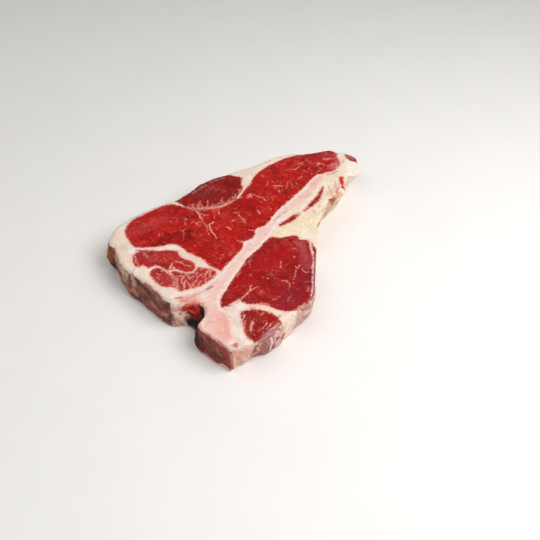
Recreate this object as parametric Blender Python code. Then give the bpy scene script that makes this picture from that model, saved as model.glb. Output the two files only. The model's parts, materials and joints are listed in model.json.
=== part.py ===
"""Raw T-bone steak, a slice about an inch thick through the short loin.

Every piece runs through the whole thickness: the T of bone, the muscles on both sides of it and
the fat between and around them.  The slice is first made whole, as a blank with swelling and
leaning sides, and each muscle and bone is then cut out of it along its own outline.

Frame: metres, +Z up, the underside on z = 0.  +Y runs along the stem of the T, from the sawn
backbone to the thin tail, and +X points to the tenderloin.  The origin is under the middle of the
slice.  Outlines are drawn in millimetres from a datum on the stem and centred afterwards.
"""
import math
from dataclasses import dataclass

import bmesh
import bpy
from mathutils import Vector
from mathutils.geometry import delaunay_2d_cdt

MM = 0.001

# ---------------------------------------------------------------- driving dimensions (mm)
THICKNESS = 26.0
PIECE_GAP = 0.3
FOOT_RADIUS = 1.6
TOP_WAVE = 0.45  # height of the slow waves in the cut face
TAIL_THINNING = 1.0
TAIL_START_Y = 120.0
TAIL_END_Y = 175.0

# ---------------------------------------------------------------- fineness of the meshes (mm)
RIM_STEP = 5.0
OUTLINE_STEP = 4.0
TOP_GRID = 9.0
SIDE_LEVELS = (0.0, 0.05, 0.2, 0.5, 0.8, 0.95, 1.0)  # rings up the side, as shares of the thickness
CUTTER_OVERRUN = 6.0
MITRE_LIMIT = 0.5
SHARP_ANGLE_DEG = 40.0

# ---------------------------------------------------------------- spinal canal (mm)
# A half-round bay in the bone that slants out towards its foot.
CANAL_RADIUS = 9.6
CANAL_TOP_CENTRE = (1.0, -57.3)
CANAL_TOP_TURN_DEG = (162.0, -14.0)
CANAL_FOOT_CENTRE = (-7.0, -64.0)
CANAL_FOOT_TURN_DEG = (122.0, 6.0)
CANAL_SWELL = 0.0
CANAL_EDGE_RADIUS = 0.8
CANAL_KNOTS = 9

# ---------------------------------------------------------------- rim of the slice
@dataclass(frozen=True)
class Stretch:
    """A stretch of the rim, with the knots of its top edge and the form of the side below them."""

    lean: tuple  # from the top edge to the foot, along x and y
    swell: float  # how far the side bulges out halfway up
    edge_radius: float  # rounding of the top edge
    knots: tuple


# The rim runs anticlockwise from the back corner.
RIM_BEFORE_CANAL = (
    # fat lobe at the back corner
    Stretch((-0.8, -1.0), 3.8, 2.6, ((-103.8, -7), (-104.3, -14), (-102.6, -21), (-99.5, -28),
                                     (-95.5, -32.5))),
    # crease behind the lobe
    Stretch((0.0, -0.8), 0.8, 1.0, ((-90.5, -33.5),)),
    # dark trimmed rind
    Stretch((-0.6, -1.4), 1.4, 1.4, ((-85, -37), (-77.5, -42.6), (-69, -46.4))),
    Stretch((-1.2, -2.8), 1.2, 1.4, ((-61, -49), (-53, -49.8), (-45, -52.4), (-36, -54.4), (-28, -56.3),
                                     (-20.5, -57.8))),
    # sawn end of the arch of bone
    Stretch((-2.4, -0.8), 0.0, 0.8, ((-14.2, -58.9),)),
    Stretch((-3.4, 0.4), 0.0, 0.8, ((-10.4, -57.2),)),
)
RIM_AFTER_CANAL = (
    # corner of the backbone beside the canal
    Stretch((-6.0, -1.0), 0.4, 0.8, ((10.2, -64.2),)),
    # sawn face of the backbone
    Stretch((-2.0, -1.6), 0.5, 0.8, ((14, -67.6), (23, -69.4), (32, -70.3))),
    Stretch((-0.4, -0.6), 0.5, 0.8, ((38, -71.4), (41.6, -72.4))),
    # undercut side that goes up from the near corner
    Stretch((-2.4, 3.6), 1.0, 1.2, ((45, -70), (48.5, -66.2))),
    Stretch((-4.6, 5.6), 1.2, 1.6, ((52.3, -61.6), (55, -56.6))),
    Stretch((-1.4, 3.2), 1.0, 1.8, ((56.6, -50.5), (58.6, -44), (60.8, -37.5))),
    Stretch((-1.6, 2.0), 1.2, 1.8, ((61.4, -31), (63, -24))),
    Stretch((-4.6, 3.0), 1.4, 2.0, ((65.8, -17), (68, -10), (68.6, -4))),
    # rounded outer side of the tenderloin
    Stretch((-2.2, 0.4), 1.2, 2.2, ((66.6, 3), (60.4, 17), (53, 31.5), (46, 47))),
    # ragged kidney fat, cut back below
    Stretch((-4.0, 1.2), 0.8, 1.6, ((39.4, 61.5),)),
    Stretch((-7.0, 2.4), 0.8, 1.4, ((34.6, 71), (32.4, 80), (31.6, 87), (30, 94.4))),
    Stretch((-5.0, 2.0), 0.4, 0.8, ((28.2, 99.8),)),
    # loose lump of it
    Stretch((-10.0, 3.0), 0.8, 1.2, ((31.6, 101.4), (33.6, 105.4), (33, 112.2), (35, 118.6), (35, 123.4))),
    Stretch((-9.0, 3.0), 0.4, 1.0, ((30.6, 129.4), (28.8, 137), (28.4, 143))),
    # lip of fat and the tip of the tail, hollow below
    Stretch((-15.0, 5.0), 0.6, 1.2, ((33.8, 146.8), (35.8, 151.2), (34.4, 156.8))),
    Stretch((-9.0, 0.0), 0.6, 1.4, ((30, 163), (24.8, 169.8))),
    Stretch((-3.0, -2.0), 0.6, 1.6, ((17.6, 174),)),
    Stretch((0.0, -0.8), 0.8, 1.6, ((10.4, 174.4), (4.2, 171.2), (-3.2, 171.2), (-9, 166.2),
                                    (-15.4, 158.6), (-22, 152.6))),
    # smooth back fat
    Stretch((0.6, -0.4), 1.6, 2.4, ((-31, 148.6), (-39.5, 139.5), (-46.8, 126), (-52, 112),
                                    (-58.5, 103.5), (-66, 91.5), (-73.4, 80), (-78, 69), (-79.8, 56),
                                    (-82, 44), (-88, 32.5), (-94.6, 18.5), (-100.8, 4))),
)

# ---------------------------------------------------------------- outlines seen from above
# Knots of smooth closed curves.  An outline that should stop at the rim or at the bone runs past
# it, and the cut there does the rest.
BONE = (
    (8.2, 132.6), (4.2, 130), (2.8, 120), (2.9, 110), (1.4, 99), (0.6, 88), (-1.2, 76), (-1.8, 64),
    (-1.2, 52), (-2.8, 45), (-5.6, 39.6), (-2.8, 35), (-2.4, 28.5), (-6.2, 22.4), (-3, 17.4), (-2.6, 6),
    (-3.2, -6), (-3.9, -17), (-4.8, -25), (-6.4, -31), (-8.2, -37), (-11.6, -42.6), (-15.6, -47.2),
    (-18.4, -50.8), (-18.4, -55), (-18, -62), (-10, -70), (4, -76), (20, -80), (36, -82), (44, -79),
    (41.8, -70), (39.4, -63.5), (34.6, -56.6), (28.6, -50), (22.8, -45.4), (17, -44.6), (12.6, -40.8),
    (10.4, -35.5), (9.8, -27), (8.6, -15), (7.2, -5), (6.1, 4), (6.6, 14), (7.8, 25), (8.6, 36),
    (7.8, 46), (6.6, 53), (6.6, 61), (7.8, 70), (9.4, 79), (10.8, 90), (12, 103), (12.4, 115),
    (11.6, 126),
)
STRIP_LOIN = (
    (-26.5, 147), (-20, 158), (-10, 172), (2, 178), (4.2, 169.6), (7.6, 164), (12.4, 158.4), (15.2, 151),
    (13.4, 141.6), (9.4, 137), (6.8, 132.6), (5, 128), (6, 118), (6, 90), (3, 50),
    (2, 10), (1.5, -8), (-1.5, -13.2), (-8, -13.8), (-15.5, -12.6), (-22.5, -9.4), (-29, -8.6), (-38, -8.2),
    (-46.5, -6), (-51.6, -6.6), (-58, -11.8), (-65, -18), (-71, -22.4), (-78.6, -24.8), (-86, -21.2),
    (-93, -16.4), (-97.4, -10), (-99, -3), (-96.4, 5), (-91.6, 17), (-86.6, 28.4), (-81.4, 33),
    (-74.6, 34.4), (-68, 34.6), (-62, 36), (-55.6, 39.6), (-50.4, 43.4), (-46.4, 47.2), (-43.4, 53),
    (-40.8, 58.6), (-39, 65), (-38.8, 72), (-39.6, 80), (-40.2, 88), (-42.4, 97), (-42.4, 106),
    (-41, 116), (-37.6, 128.6), (-32.6, 139),
)
CAP_MUSCLE = (
    (-54.4, 93), (-50.8, 92.4), (-49.4, 88.4), (-47, 84.8), (-43.4, 82.4), (-41.8, 77.4), (-41.1, 71),
    (-41.6, 65), (-43.4, 59.6), (-45.6, 54.4), (-48.4, 49.2), (-52.4, 45.4), (-57, 42), (-62.6, 38.4),
    (-68.6, 36.8), (-75.4, 36.6), (-84, 38), (-88, 52), (-83, 70), (-76, 84), (-69, 92.4), (-62, 91),
    (-58, 91.6),
)
MULTIFIDUS_UPPER = (
    (-72.6, -30.4), (-70.2, -26.8), (-65.9, -23.9), (-61.4, -21), (-57.4, -19.2), (-55, -17),
    (-53, -15), (-49.4, -13.6), (-45.6, -12), (-42.8, -14.4), (-38.6, -15.8), (-34.4, -16.2),
    (-31.2, -15.2), (-27.4, -15.4), (-24.6, -17.4), (-22.9, -20.4), (-22.8, -24), (-24.4, -26.8),
    (-28, -28), (-33.4, -28.4), (-36.4, -30), (-38, -32.8), (-42.6, -33.2), (-47.4, -32.6),
    (-51, -34.2), (-52.8, -38), (-56.2, -37.4), (-59.2, -38.2), (-60.6, -41), (-63.6, -41.4),
    (-67.8, -38.6), (-71.2, -34.6),
)
MULTIFIDUS_LOWER = (
    (-49.8, -39.6), (-48.8, -36.2), (-45.8, -34.9), (-41, -35.2), (-35.4, -35.8), (-31.6, -37.4),
    (-28.4, -39.4), (-26.2, -42), (-26.2, -46), (-28.8, -47.8), (-34, -48.9), (-39.4, -47.9),
    (-44.4, -45.8), (-48, -42.8),
)
MULTIFIDUS_INNER = (
    (-35.6, -33.2), (-33.6, -30.4), (-29.4, -29.8), (-24.6, -28.9), (-21.4, -26), (-21, -21.6),
    (-21.2, -18), (-18.4, -17.4), (-14.8, -16), (-11.6, -15.7), (-8, -16.6), (-5, -18.6), (-5.6, -23),
    (-7.2, -29), (-8.6, -33.6), (-11, -37.8), (-14.4, -40.8), (-16.8, -43.4), (-19, -46.2),
    (-22, -45.4), (-24.2, -41.4), (-27.4, -37.8), (-31.2, -35.4),
)
TENDERLOIN = (
    (6.5, -22), (8, -33), (12.2, -39.6), (16.6, -43.2), (19.8, -40.6), (20.8, -35), (24, -31.6),
    (30, -32.4), (35.6, -29.8), (42, -26.4), (51, -25.4), (59, -23.4), (64.6, -18), (71, -14),
    (76, -6), (72, 8), (64, 24), (56, 38), (50, 43.6), (43.4, 46), (36.2, 49.8), (31.6, 47), (26.6, 50),
    (21.4, 46.2), (16.4, 40.8), (10.8, 39.2), (6, 34), (4, 10), (5, -8),
)
PSOAS_MINOR = (
    (30.6, -40.4), (34.6, -36), (41.4, -32.2), (48.6, -31), (54.4, -31.4), (58.4, -34), (66, -40),
    (67, -52), (60, -62), (53.6, -59.6), (47.4, -58.4), (41.4, -53.4), (34.8, -46.4),
)
SIDE_STRIP_LOWER = (
    (9.4, 52.8), (7.8, 54.8), (9, 59), (10.4, 64), (11.2, 69.4), (12.4, 74.4), (14, 77.2), (15.5, 74.6),
    (15.2, 69), (14.2, 63), (12.2, 57.4),
)
SIDE_STRIP_UPPER = (
    (16.3, 117.6), (15.5, 115.6), (16.2, 111.6), (17.3, 106.4), (17.5, 101), (16.8, 96.4), (16.3, 91),
    (16.4, 85.4), (16.4, 80.6), (17.8, 80.8), (19.2, 86.6), (20.2, 92), (21.6, 97), (21.6, 101.6),
    (19.8, 107.8), (18.2, 113.4),
)
TAIL_MUSCLE = (
    (12, 171), (13, 180), (24, 180), (31, 172), (27.4, 165.6), (23.8, 164.6), (19.6, 164.4), (15.2, 167),
)
# Sides of the slice that each body of fat lies on; their inner edges run inside bone or muscle.
BACK_SIDE = (
    (3.5, -90), (3.5, 20), (4.5, 60), (5.5, 108), (-10, 114), (-6, 150), (-10, 200), (-130, 200), (-130, -90),
)
KIDNEY_SIDE = (
    (3.5, 20), (30, 10), (90, 10), (90, 200), (-10, 200), (-6, 150), (-10, 114), (5.5, 108), (4.5, 60),
)
CHINE_SIDE = (
    (3.5, -90), (90, -90), (90, 10), (30, 10), (3.5, 20),
)

# Material colour (linear), roughness.
BONE_CREAM = ((0.78, 0.60, 0.50), 0.45)
LOIN_RED = ((0.39, 0.014, 0.011), 0.35)
CAP_MAROON = ((0.29, 0.048, 0.043), 0.38)
MUSCLE_PINK = ((0.42, 0.030, 0.034), 0.38)
TENDERLOIN_RED = ((0.36, 0.025, 0.024), 0.33)
FAT_CREAM = ((0.80, 0.68, 0.56), 0.42)


# ---------------------------------------------------------------- curves and heights
def smooth_loop(knots, step):
    """Points about `step` apart on the closed centripetal Catmull-Rom curve through the knots.

    A knot may carry more numbers than x and y; they are carried along the curve as well.
    """
    points = []
    count = len(knots)
    for i in range(count):
        p0, p1, p2, p3 = (Vector(knots[(i + k) % count]) for k in (-1, 0, 1, 2))
        chord = [math.sqrt(math.hypot(b[0] - a[0], b[1] - a[1])) for a, b in ((p0, p1), (p1, p2), (p2, p3))]
        slope1 = (p1 - p0) / chord[0] - (p2 - p0) / (chord[0] + chord[1]) + (p2 - p1) / chord[1]
        slope2 = (p2 - p1) / chord[1] - (p3 - p1) / (chord[1] + chord[2]) + (p3 - p2) / chord[2]
        slope1 *= chord[1]
        slope2 *= chord[1]
        spans = max(1, round(chord[1] ** 2 / step))
        for k in range(spans):
            t = k / spans
            points.append(
                p1 * (2 * t**3 - 3 * t**2 + 1)
                + slope1 * (t**3 - 2 * t**2 + t)
                + p2 * (3 * t**2 - 2 * t**3)
                + slope2 * (t**3 - t**2)
            )
    return points


def signed_area(points):
    """Area inside a loop, positive where it runs anticlockwise."""
    pairs = zip(points, points[1:] + points[:1])
    return sum(a[0] * b[1] - b[0] * a[1] for a, b in pairs) / 2


def outward_normals(points):
    """Vectors in the plan that point out of an anticlockwise loop at each of its points.

    Each is long enough that a loop moved along them keeps its distance from both edges there.
    """
    normals = []
    for i, point in enumerate(points):
        before, after = points[i - 1], points[(i + 1) % len(points)]
        arriving = Vector((point[1] - before[1], before[0] - point[0])).normalized()
        leaving = Vector((after[1] - point[1], point[0] - after[0])).normalized()
        middle = (arriving + leaving).normalized()
        normals.append(middle / max(middle.dot(leaving), MITRE_LIMIT))
    return normals


def top_height(x, y):
    """Height of the cut face: nearly flat, in slow waves, and thinner towards the tail."""
    waves = math.sin(x / 17 + 0.8) * math.cos(y / 23 - 0.4) + 0.6 * math.sin((x + y) / 11 + 2.1)
    tail = min(max((y - TAIL_START_Y) / (TAIL_END_Y - TAIL_START_Y), 0), 1)
    return THICKNESS + TOP_WAVE * waves - TAIL_THINNING * tail**2


def arc_point(centre, radius, turn_deg, share):
    """The point a share of the way along an arc that runs between two bearings."""
    turn = math.radians(turn_deg[0] + (turn_deg[1] - turn_deg[0]) * share)
    return Vector((centre[0] + radius * math.cos(turn), centre[1] + radius * math.sin(turn)))


def stretch_knots(stretches):
    """Rim knots of some stretches: x, y, lean of the foot in x and y, swell, top edge radius."""
    return [(*point, *part.lean, part.swell, part.edge_radius) for part in stretches for point in part.knots]


def canal_knots():
    """Rim knots round the spinal canal, which has an arc at the top and another at the foot."""
    knots = []
    for i in range(CANAL_KNOTS):
        share = i / (CANAL_KNOTS - 1)
        top = arc_point(CANAL_TOP_CENTRE, CANAL_RADIUS, CANAL_TOP_TURN_DEG, share)
        foot = arc_point(CANAL_FOOT_CENTRE, CANAL_RADIUS, CANAL_FOOT_TURN_DEG, share)
        knots.append((*top, *(foot - top), CANAL_SWELL, CANAL_EDGE_RADIUS))
    return knots


def rounding(radius, depth):
    """How far a quarter-round edge of this radius is set in, at this depth from its face."""
    if depth >= radius:
        return 0.0
    return radius - math.sqrt(radius**2 - (radius - depth) ** 2)


def rim_rings():
    """Rings of plan points up the side of the slice, each with its share of the thickness."""
    knots = stretch_knots(RIM_BEFORE_CANAL) + canal_knots() + stretch_knots(RIM_AFTER_CANAL)
    rim = smooth_loop(knots, RIM_STEP)
    normals = outward_normals(rim)
    rings = []
    for share in SIDE_LEVELS:
        ring = []
        for knot, normal in zip(rim, normals):
            x, y, lean_x, lean_y, swell, radius = knot
            inset = rounding(radius, (1 - share) * THICKNESS) + rounding(FOOT_RADIUS, share * THICKNESS)
            out = swell * math.sin(math.pi * share) - inset
            ring.append(Vector((x + lean_x * (1 - share) + normal.x * out,
                                y + lean_y * (1 - share) + normal.y * out)))
        rings.append((share, ring))
    return rings


# ---------------------------------------------------------------- meshes
def new_object(name, bm, guide=False):
    """An object with the bmesh as its mesh; a guide only shapes others and isn't a piece."""
    mesh = bpy.data.meshes.new(name)
    bm.to_mesh(mesh)
    bm.free()
    mesh.shade_smooth()
    mesh.set_sharp_from_angle(angle=math.radians(SHARP_ANGLE_DEG))
    obj = bpy.data.objects.new(name, mesh)
    bpy.context.scene.collection.objects.link(obj)
    if guide:
        obj.hide_render = True
        obj.display_type = "WIRE"
    return obj


def triangulated_top(ring):
    """Plan points and triangles that fill the ring, with a staggered grid of points inside it."""
    xs = [p.x for p in ring]
    ys = [p.y for p in ring]
    grid = []
    row_height = TOP_GRID * math.sqrt(3) / 2
    rows = int((max(ys) - min(ys)) / row_height)
    columns = int((max(xs) - min(xs)) / TOP_GRID) + 1
    for row in range(1, rows + 1):
        for column in range(columns):
            point = Vector((min(xs) + (column + 0.5 * (row % 2)) * TOP_GRID, min(ys) + row * row_height))
            if inside(point, ring) and min((point - p).length for p in ring) > 0.5 * TOP_GRID:
                grid.append(point)
    count = len(ring)
    loop = [(i, (i + 1) % count) for i in range(count)]
    points, _, triangles, *_ = delaunay_2d_cdt(ring + grid, loop, [list(range(count))], 1, 1e-4)
    return points, triangles


def inside(point, loop):
    """Whether a plan point lies inside a loop."""
    crossings = 0
    for a, b in zip(loop, loop[1:] + loop[:1]):
        if (a.y > point.y) != (b.y > point.y):
            crossings += point.x < a.x + (point.y - a.y) / (b.y - a.y) * (b.x - a.x)
    return crossings % 2 == 1


def make_blank(centre):
    """The whole slice as one body, centred on the origin."""
    rings = rim_rings()
    bm = bmesh.new()

    def vertex(point, share):
        height = share * top_height(point.x, point.y)
        return bm.verts.new(((point.x - centre.x) * MM, (point.y - centre.y) * MM, height * MM))

    levels = [[vertex(point, share) for point in ring] for share, ring in rings]
    for lower, upper in zip(levels, levels[1:]):
        for i, _ in enumerate(lower):
            j = (i + 1) % len(lower)
            bm.faces.new((lower[i], lower[j], upper[j], upper[i]))
    bm.faces.new(levels[0][::-1])
    points, triangles = triangulated_top(rings[-1][1])
    edge = levels[-1]
    top = edge + [vertex(point, 1.0) for point in points[len(edge):]]
    for triangle in triangles:
        bm.faces.new([top[i] for i in triangle])
    bmesh.ops.recalc_face_normals(bm, faces=bm.faces[:])
    bmesh.ops.triangulate(bm, faces=[f for f in bm.faces if len(f.verts) == 4])
    return new_object("slice_blank", bm, guide=True)


def make_cutter(name, knots, centre, grow=0.0, smooth=True):
    """An upright guide with the outline's shape, grown by a gap, that passes through the slice."""
    loop = smooth_loop(knots, OUTLINE_STEP) if smooth else [Vector(k) for k in knots]
    if signed_area(loop) < 0:
        loop.reverse()
    bm = bmesh.new()
    verts = []
    for point, normal in zip(loop, outward_normals(loop)):
        place = point + normal * grow - centre
        verts.append(bm.verts.new((place.x * MM, place.y * MM, -CUTTER_OVERRUN * MM)))
    floor = bm.faces.new(verts)
    walls = bmesh.ops.extrude_face_region(bm, geom=[floor], use_keep_orig=True)
    lifted = [g for g in walls["geom"] if isinstance(g, bmesh.types.BMVert)]
    bmesh.ops.translate(bm, verts=lifted, vec=(0, 0, (THICKNESS + 2 * CUTTER_OVERRUN) * MM))
    bmesh.ops.recalc_face_normals(bm, faces=bm.faces[:])
    return new_object(name, bm, guide=True)


def make_material(name, finish):
    """A plain material with the finish's colour and roughness."""
    colour, roughness = finish
    material = bpy.data.materials.new(name)
    material.use_nodes = True
    shader = material.node_tree.nodes["Principled BSDF"]
    shader.inputs["Base Color"].default_value = (*colour, 1.0)
    shader.inputs["Roughness"].default_value = roughness
    shader.inputs["Metallic"].default_value = 0.0
    material.diffuse_color = (*colour, 1.0)
    return material


def cut_piece(name, blank, keep, remove, finish):
    """A piece of the slice: what lies inside one guide and outside others."""
    piece = bpy.data.objects.new(name, blank.data.copy())
    piece.data.name = name
    bpy.context.scene.collection.objects.link(piece)
    for operation, guide in [("INTERSECT", keep)] + [("DIFFERENCE", other) for other in remove]:
        cut = piece.modifiers.new(f"{operation.lower()}_{guide.name}", "BOOLEAN")
        cut.operation = operation
        cut.solver = "EXACT"
        cut.object = guide
    piece.data.materials.clear()
    piece.data.materials.append(make_material(f"{name}_finish", finish))
    return piece


# ---------------------------------------------------------------- the steak
# Name, outline, finish, and the pieces that it makes room for.
LEAN_PIECES = (
    ("bone", BONE, BONE_CREAM, ()),
    ("side_strip_lower", SIDE_STRIP_LOWER, LOIN_RED, ("bone",)),
    ("side_strip_upper", SIDE_STRIP_UPPER, LOIN_RED, ("bone",)),
    ("tail_muscle", TAIL_MUSCLE, CAP_MAROON, ()),
    ("strip_loin", STRIP_LOIN, LOIN_RED, ("bone",)),
    ("cap_muscle", CAP_MUSCLE, CAP_MAROON, ()),
    ("multifidus_upper", MULTIFIDUS_UPPER, MUSCLE_PINK, ()),
    ("multifidus_lower", MULTIFIDUS_LOWER, MUSCLE_PINK, ()),
    ("multifidus_inner", MULTIFIDUS_INNER, MUSCLE_PINK, ("bone",)),
    ("tenderloin", TENDERLOIN, TENDERLOIN_RED, ("bone",)),
    ("psoas_minor", PSOAS_MINOR, MUSCLE_PINK, ()),
)
# Name, side of the slice, and the pieces that lie in it.
FAT_PIECES = (
    ("back_fat", BACK_SIDE, ("bone", "strip_loin", "cap_muscle", "multifidus_upper", "multifidus_lower",
                             "multifidus_inner")),
    ("kidney_fat", KIDNEY_SIDE, ("bone", "strip_loin", "side_strip_lower", "side_strip_upper", "tail_muscle",
                                 "tenderloin")),
    ("chine_fat", CHINE_SIDE, ("bone", "tenderloin", "psoas_minor")),
)


def slice_centre():
    """Middle of the slice's box, from the widest points of its sides."""
    points = [p for _, ring in rim_rings() for p in ring]
    xs = [p.x for p in points]
    ys = [p.y for p in points]
    return Vector(((min(xs) + max(xs)) / 2, (min(ys) + max(ys)) / 2))


def main():
    for obj in list(bpy.data.objects):
        bpy.data.objects.remove(obj, do_unlink=True)
    centre = slice_centre()
    blank = make_blank(centre)
    rooms = {}
    for name, outline, _, _ in LEAN_PIECES:
        rooms[name] = make_cutter(f"room_for_{name}", outline, centre, grow=PIECE_GAP)
    for name, outline, finish, neighbours in LEAN_PIECES:
        guide = make_cutter(f"outline_of_{name}", outline, centre)
        cut_piece(name, blank, guide, [rooms[other] for other in neighbours], finish)
    for name, side, within in FAT_PIECES:
        guide = make_cutter(f"side_of_{name}", side, centre, smooth=False)
        cut_piece(name, blank, guide, [rooms[other] for other in within], FAT_CREAM)


main()
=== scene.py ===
"""Looks of the raw T-bone steak: every muscle, the bone and the fat, remade as fine wet surfaces.

Each piece starts from its solid in the frame.  Planes cut the solid into a grid of small faces, the
cut faces are lifted into muscle domes and lumps of fat, and the sides are roughened.  Marks, given
as short chains of points on the steak, carry what belongs to one place: blood, the dark rind, the
blush of the marrow.  Places are in millimetres from a datum on the stem of the bone; a place with
two numbers lies on the upper cut face, and one with three gives its height above the underside.
"""

import itertools
import json
import logging
import math
from dataclasses import dataclass, field, replace
from enum import Enum

import bmesh
import bpy
import numpy as np
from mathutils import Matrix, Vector
from mathutils.bvhtree import BVHTree

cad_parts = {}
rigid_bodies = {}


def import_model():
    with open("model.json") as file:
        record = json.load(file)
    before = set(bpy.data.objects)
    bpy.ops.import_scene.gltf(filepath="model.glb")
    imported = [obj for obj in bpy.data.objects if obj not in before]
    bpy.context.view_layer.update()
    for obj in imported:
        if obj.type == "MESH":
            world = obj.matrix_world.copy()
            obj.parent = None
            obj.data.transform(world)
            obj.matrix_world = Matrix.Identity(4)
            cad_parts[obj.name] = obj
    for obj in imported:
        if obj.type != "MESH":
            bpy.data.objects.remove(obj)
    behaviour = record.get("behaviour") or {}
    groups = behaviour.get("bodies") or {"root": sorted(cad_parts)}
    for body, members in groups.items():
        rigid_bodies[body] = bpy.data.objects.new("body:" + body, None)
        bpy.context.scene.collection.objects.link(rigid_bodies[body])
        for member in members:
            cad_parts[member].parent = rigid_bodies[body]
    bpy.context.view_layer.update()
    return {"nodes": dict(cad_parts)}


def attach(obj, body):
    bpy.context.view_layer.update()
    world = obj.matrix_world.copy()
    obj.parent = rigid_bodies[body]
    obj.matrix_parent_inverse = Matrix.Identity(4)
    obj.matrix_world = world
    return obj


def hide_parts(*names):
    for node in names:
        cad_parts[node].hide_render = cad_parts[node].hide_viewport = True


for stale in list(bpy.data.objects):
    bpy.data.objects.remove(stale)
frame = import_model()

LOG = logging.getLogger("steak")
MM = 0.001
DATUM = np.array((20.0091, -50.7828, 0.0))  # where the datum lies in the frame, mm
THICKNESS = 26.0
PIECE_GAP = 0.3  # between two solids, mm
SEAM_CLOSING = 0.17  # how far a piece grows into that gap, mm
FAR = 8.0  # distances to a neighbour are measured up to this, mm
WARP = ((7.5, 0.42), (2.8, 0.30), (1.4, 0.16))  # sideways unevenness of every outline: size and reach, mm
GRAIN = ((2.4, 51, 0.6), (1.3, 52, 0.4), (5.5, 53, 0.5))  # a mark's rough grain: size in mm, seed, share
VEIN_STRAY = ((3.4, 0.55), (1.5, 0.3))  # how veins stray from their chains: size and reach, mm
VEIN_SHIFT = (3.0, -2.0)  # how far they have moved at the lower cut face, mm
SWELL = 5.0  # how far from its border a cut face has risen to its dome, mm
CREASE = (0.05, 0.9)  # groove along a border of the upper cut face: depth and width, mm
UNDER_CREASE = (0.12, 1.2)  # the same for the lower cut face
UNDER_WAVE = (5.0, 0.06)  # unevenness of the lower cut face: size and height, mm
FADE = 3.0  # height over which grain dies away at the top, and all relief at the bottom, mm
RIM_LIFT = 0.3  # share of a side's relief that also goes up or down

# how the faces of a solid are told apart
TOUCH = 1.5 * PIECE_GAP  # a wall nearer than this to a neighbour is a seam, mm
WALL = 0.2  # how far the normal of such a wall may rise or fall
LEVEL = 0.7  # the normals of the upper cut face rise further than this
TOP_FROM = 0.9 * THICKNESS  # and it lies above this height, mm
DOWN = -0.9  # the normals of the lower cut face fall further than this
BASE_TO = 0.1  # and it lies below this height, mm

COPLANAR = math.radians(0.05)  # faces that turn less than this from each other become one
FLAT_PASSES = 20  # smoothing passes over the upper cut face
SHARP = math.radians(55)  # edges that turn further than this stay crisp

BLEND = {"data_type": "RGBA"}
SMOOTH = {"interpolation_type": "SMOOTHSTEP"}
RIND_TURN = math.radians(-24)  # the rind side's direction in plan
RIND_TONES = ((0.30, "#35110a"), (0.41, "#66271a"), (0.50, "#8e4632"), (0.59, "#a96b4d"), (0.70, "#cf9f80"))
# the seam between the strip loin and the cap, mm
CAP_SEAM = ((-73, 35.5), (-69, 36), (-65, 37), (-62, 38), (-59, 39), (-56, 41), (-53, 43), (-50, 45.5),
            (-47, 48), (-45, 51), (-43, 54.6), (-41.8, 57.6), (-40.8, 60), (-40.3, 64), (-40.2, 67))


class Tissue(Enum):
    """What a piece is made of."""

    LEAN = "lean"
    FAT = "fat"
    BONE = "bone"


class Zone(Enum):
    """Where a face of a piece lies."""

    CUT = 0  # the upper cut face
    UNDER = 1  # the lower cut face
    RIM = 2  # the outer side of the slice
    SEAM = 3  # a wall shared with a neighbour


class Layer(Enum):
    """What a mark adds to the surface besides its relief."""

    PAINT = "paint"  # a colour
    RIND = "rind"  # dried, trimmed rind
    BARE = "bare"  # relief alone


ROUNDING = {Tissue.LEAN: 14, Tissue.FAT: 14, Tissue.BONE: 4}  # smoothing passes over the outer side


# ---------------------------------------------------------------- numbers and noise
def rgba(code: str) -> tuple[float, float, float, float]:
    """Linear colour of an sRGB hex code.

    Args:
        code: six hex digits after a #.

    Returns:
        Red, green and blue, linear, and full cover.
    """
    parts = (int(code[i:i + 2], 16) / 255 for i in (1, 3, 5))
    return (*(p / 12.92 if p <= 0.04045 else ((p + 0.055) / 1.055) ** 2.4 for p in parts), 1.0)


def ease(value: np.ndarray, low: float, high: float) -> np.ndarray:
    """Smooth step.

    Args:
        value: numbers to step.
        low: where the step is still 0.
        high: where it has reached 1; it may lie below low.

    Returns:
        Numbers from 0 to 1.
    """
    share = np.clip((value - low) / (high - low), 0.0, 1.0)
    return share * share * (3 - 2 * share)


def lattice(cells: np.ndarray, seed: int) -> np.ndarray:
    """Repeatable random numbers for the cells of a lattice.

    Args:
        cells: whole numbers, (n, 3).
        seed: another seed gives another pattern.

    Returns:
        Numbers from 0 to 1, (n,).
    """
    mixed = (cells[:, 0] * 73856093) ^ (cells[:, 1] * 19349663) ^ (cells[:, 2] * 83492791) ^ (seed * 9973)
    mixed = ((mixed & 0xFFFFFFFF) * 2654435761) & 0xFFFFFFFF
    mixed = ((mixed ^ (mixed >> 15)) * 2246822519) & 0xFFFFFFFF
    return ((mixed ^ (mixed >> 13)) & 0xFFFF) / 0xFFFF


def waves(points: np.ndarray, size: float, seed: int) -> np.ndarray:
    """Smooth noise.

    Args:
        points: places in mm, (n, 3).
        size: spacing of its lumps, mm.
        seed: another seed gives another pattern.

    Returns:
        Numbers from -1 to 1, (n,).
    """
    scaled = points / size
    base = np.floor(scaled).astype(np.int64)
    part = scaled - base
    part = part * part * (3 - 2 * part)
    total = np.zeros(len(points))
    for corner in itertools.product((0, 1), repeat=3):
        weight = np.prod(np.where(corner, part, 1 - part), axis=1)
        total += weight * lattice(base + np.array(corner), seed)
    return 2 * total - 1


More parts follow.
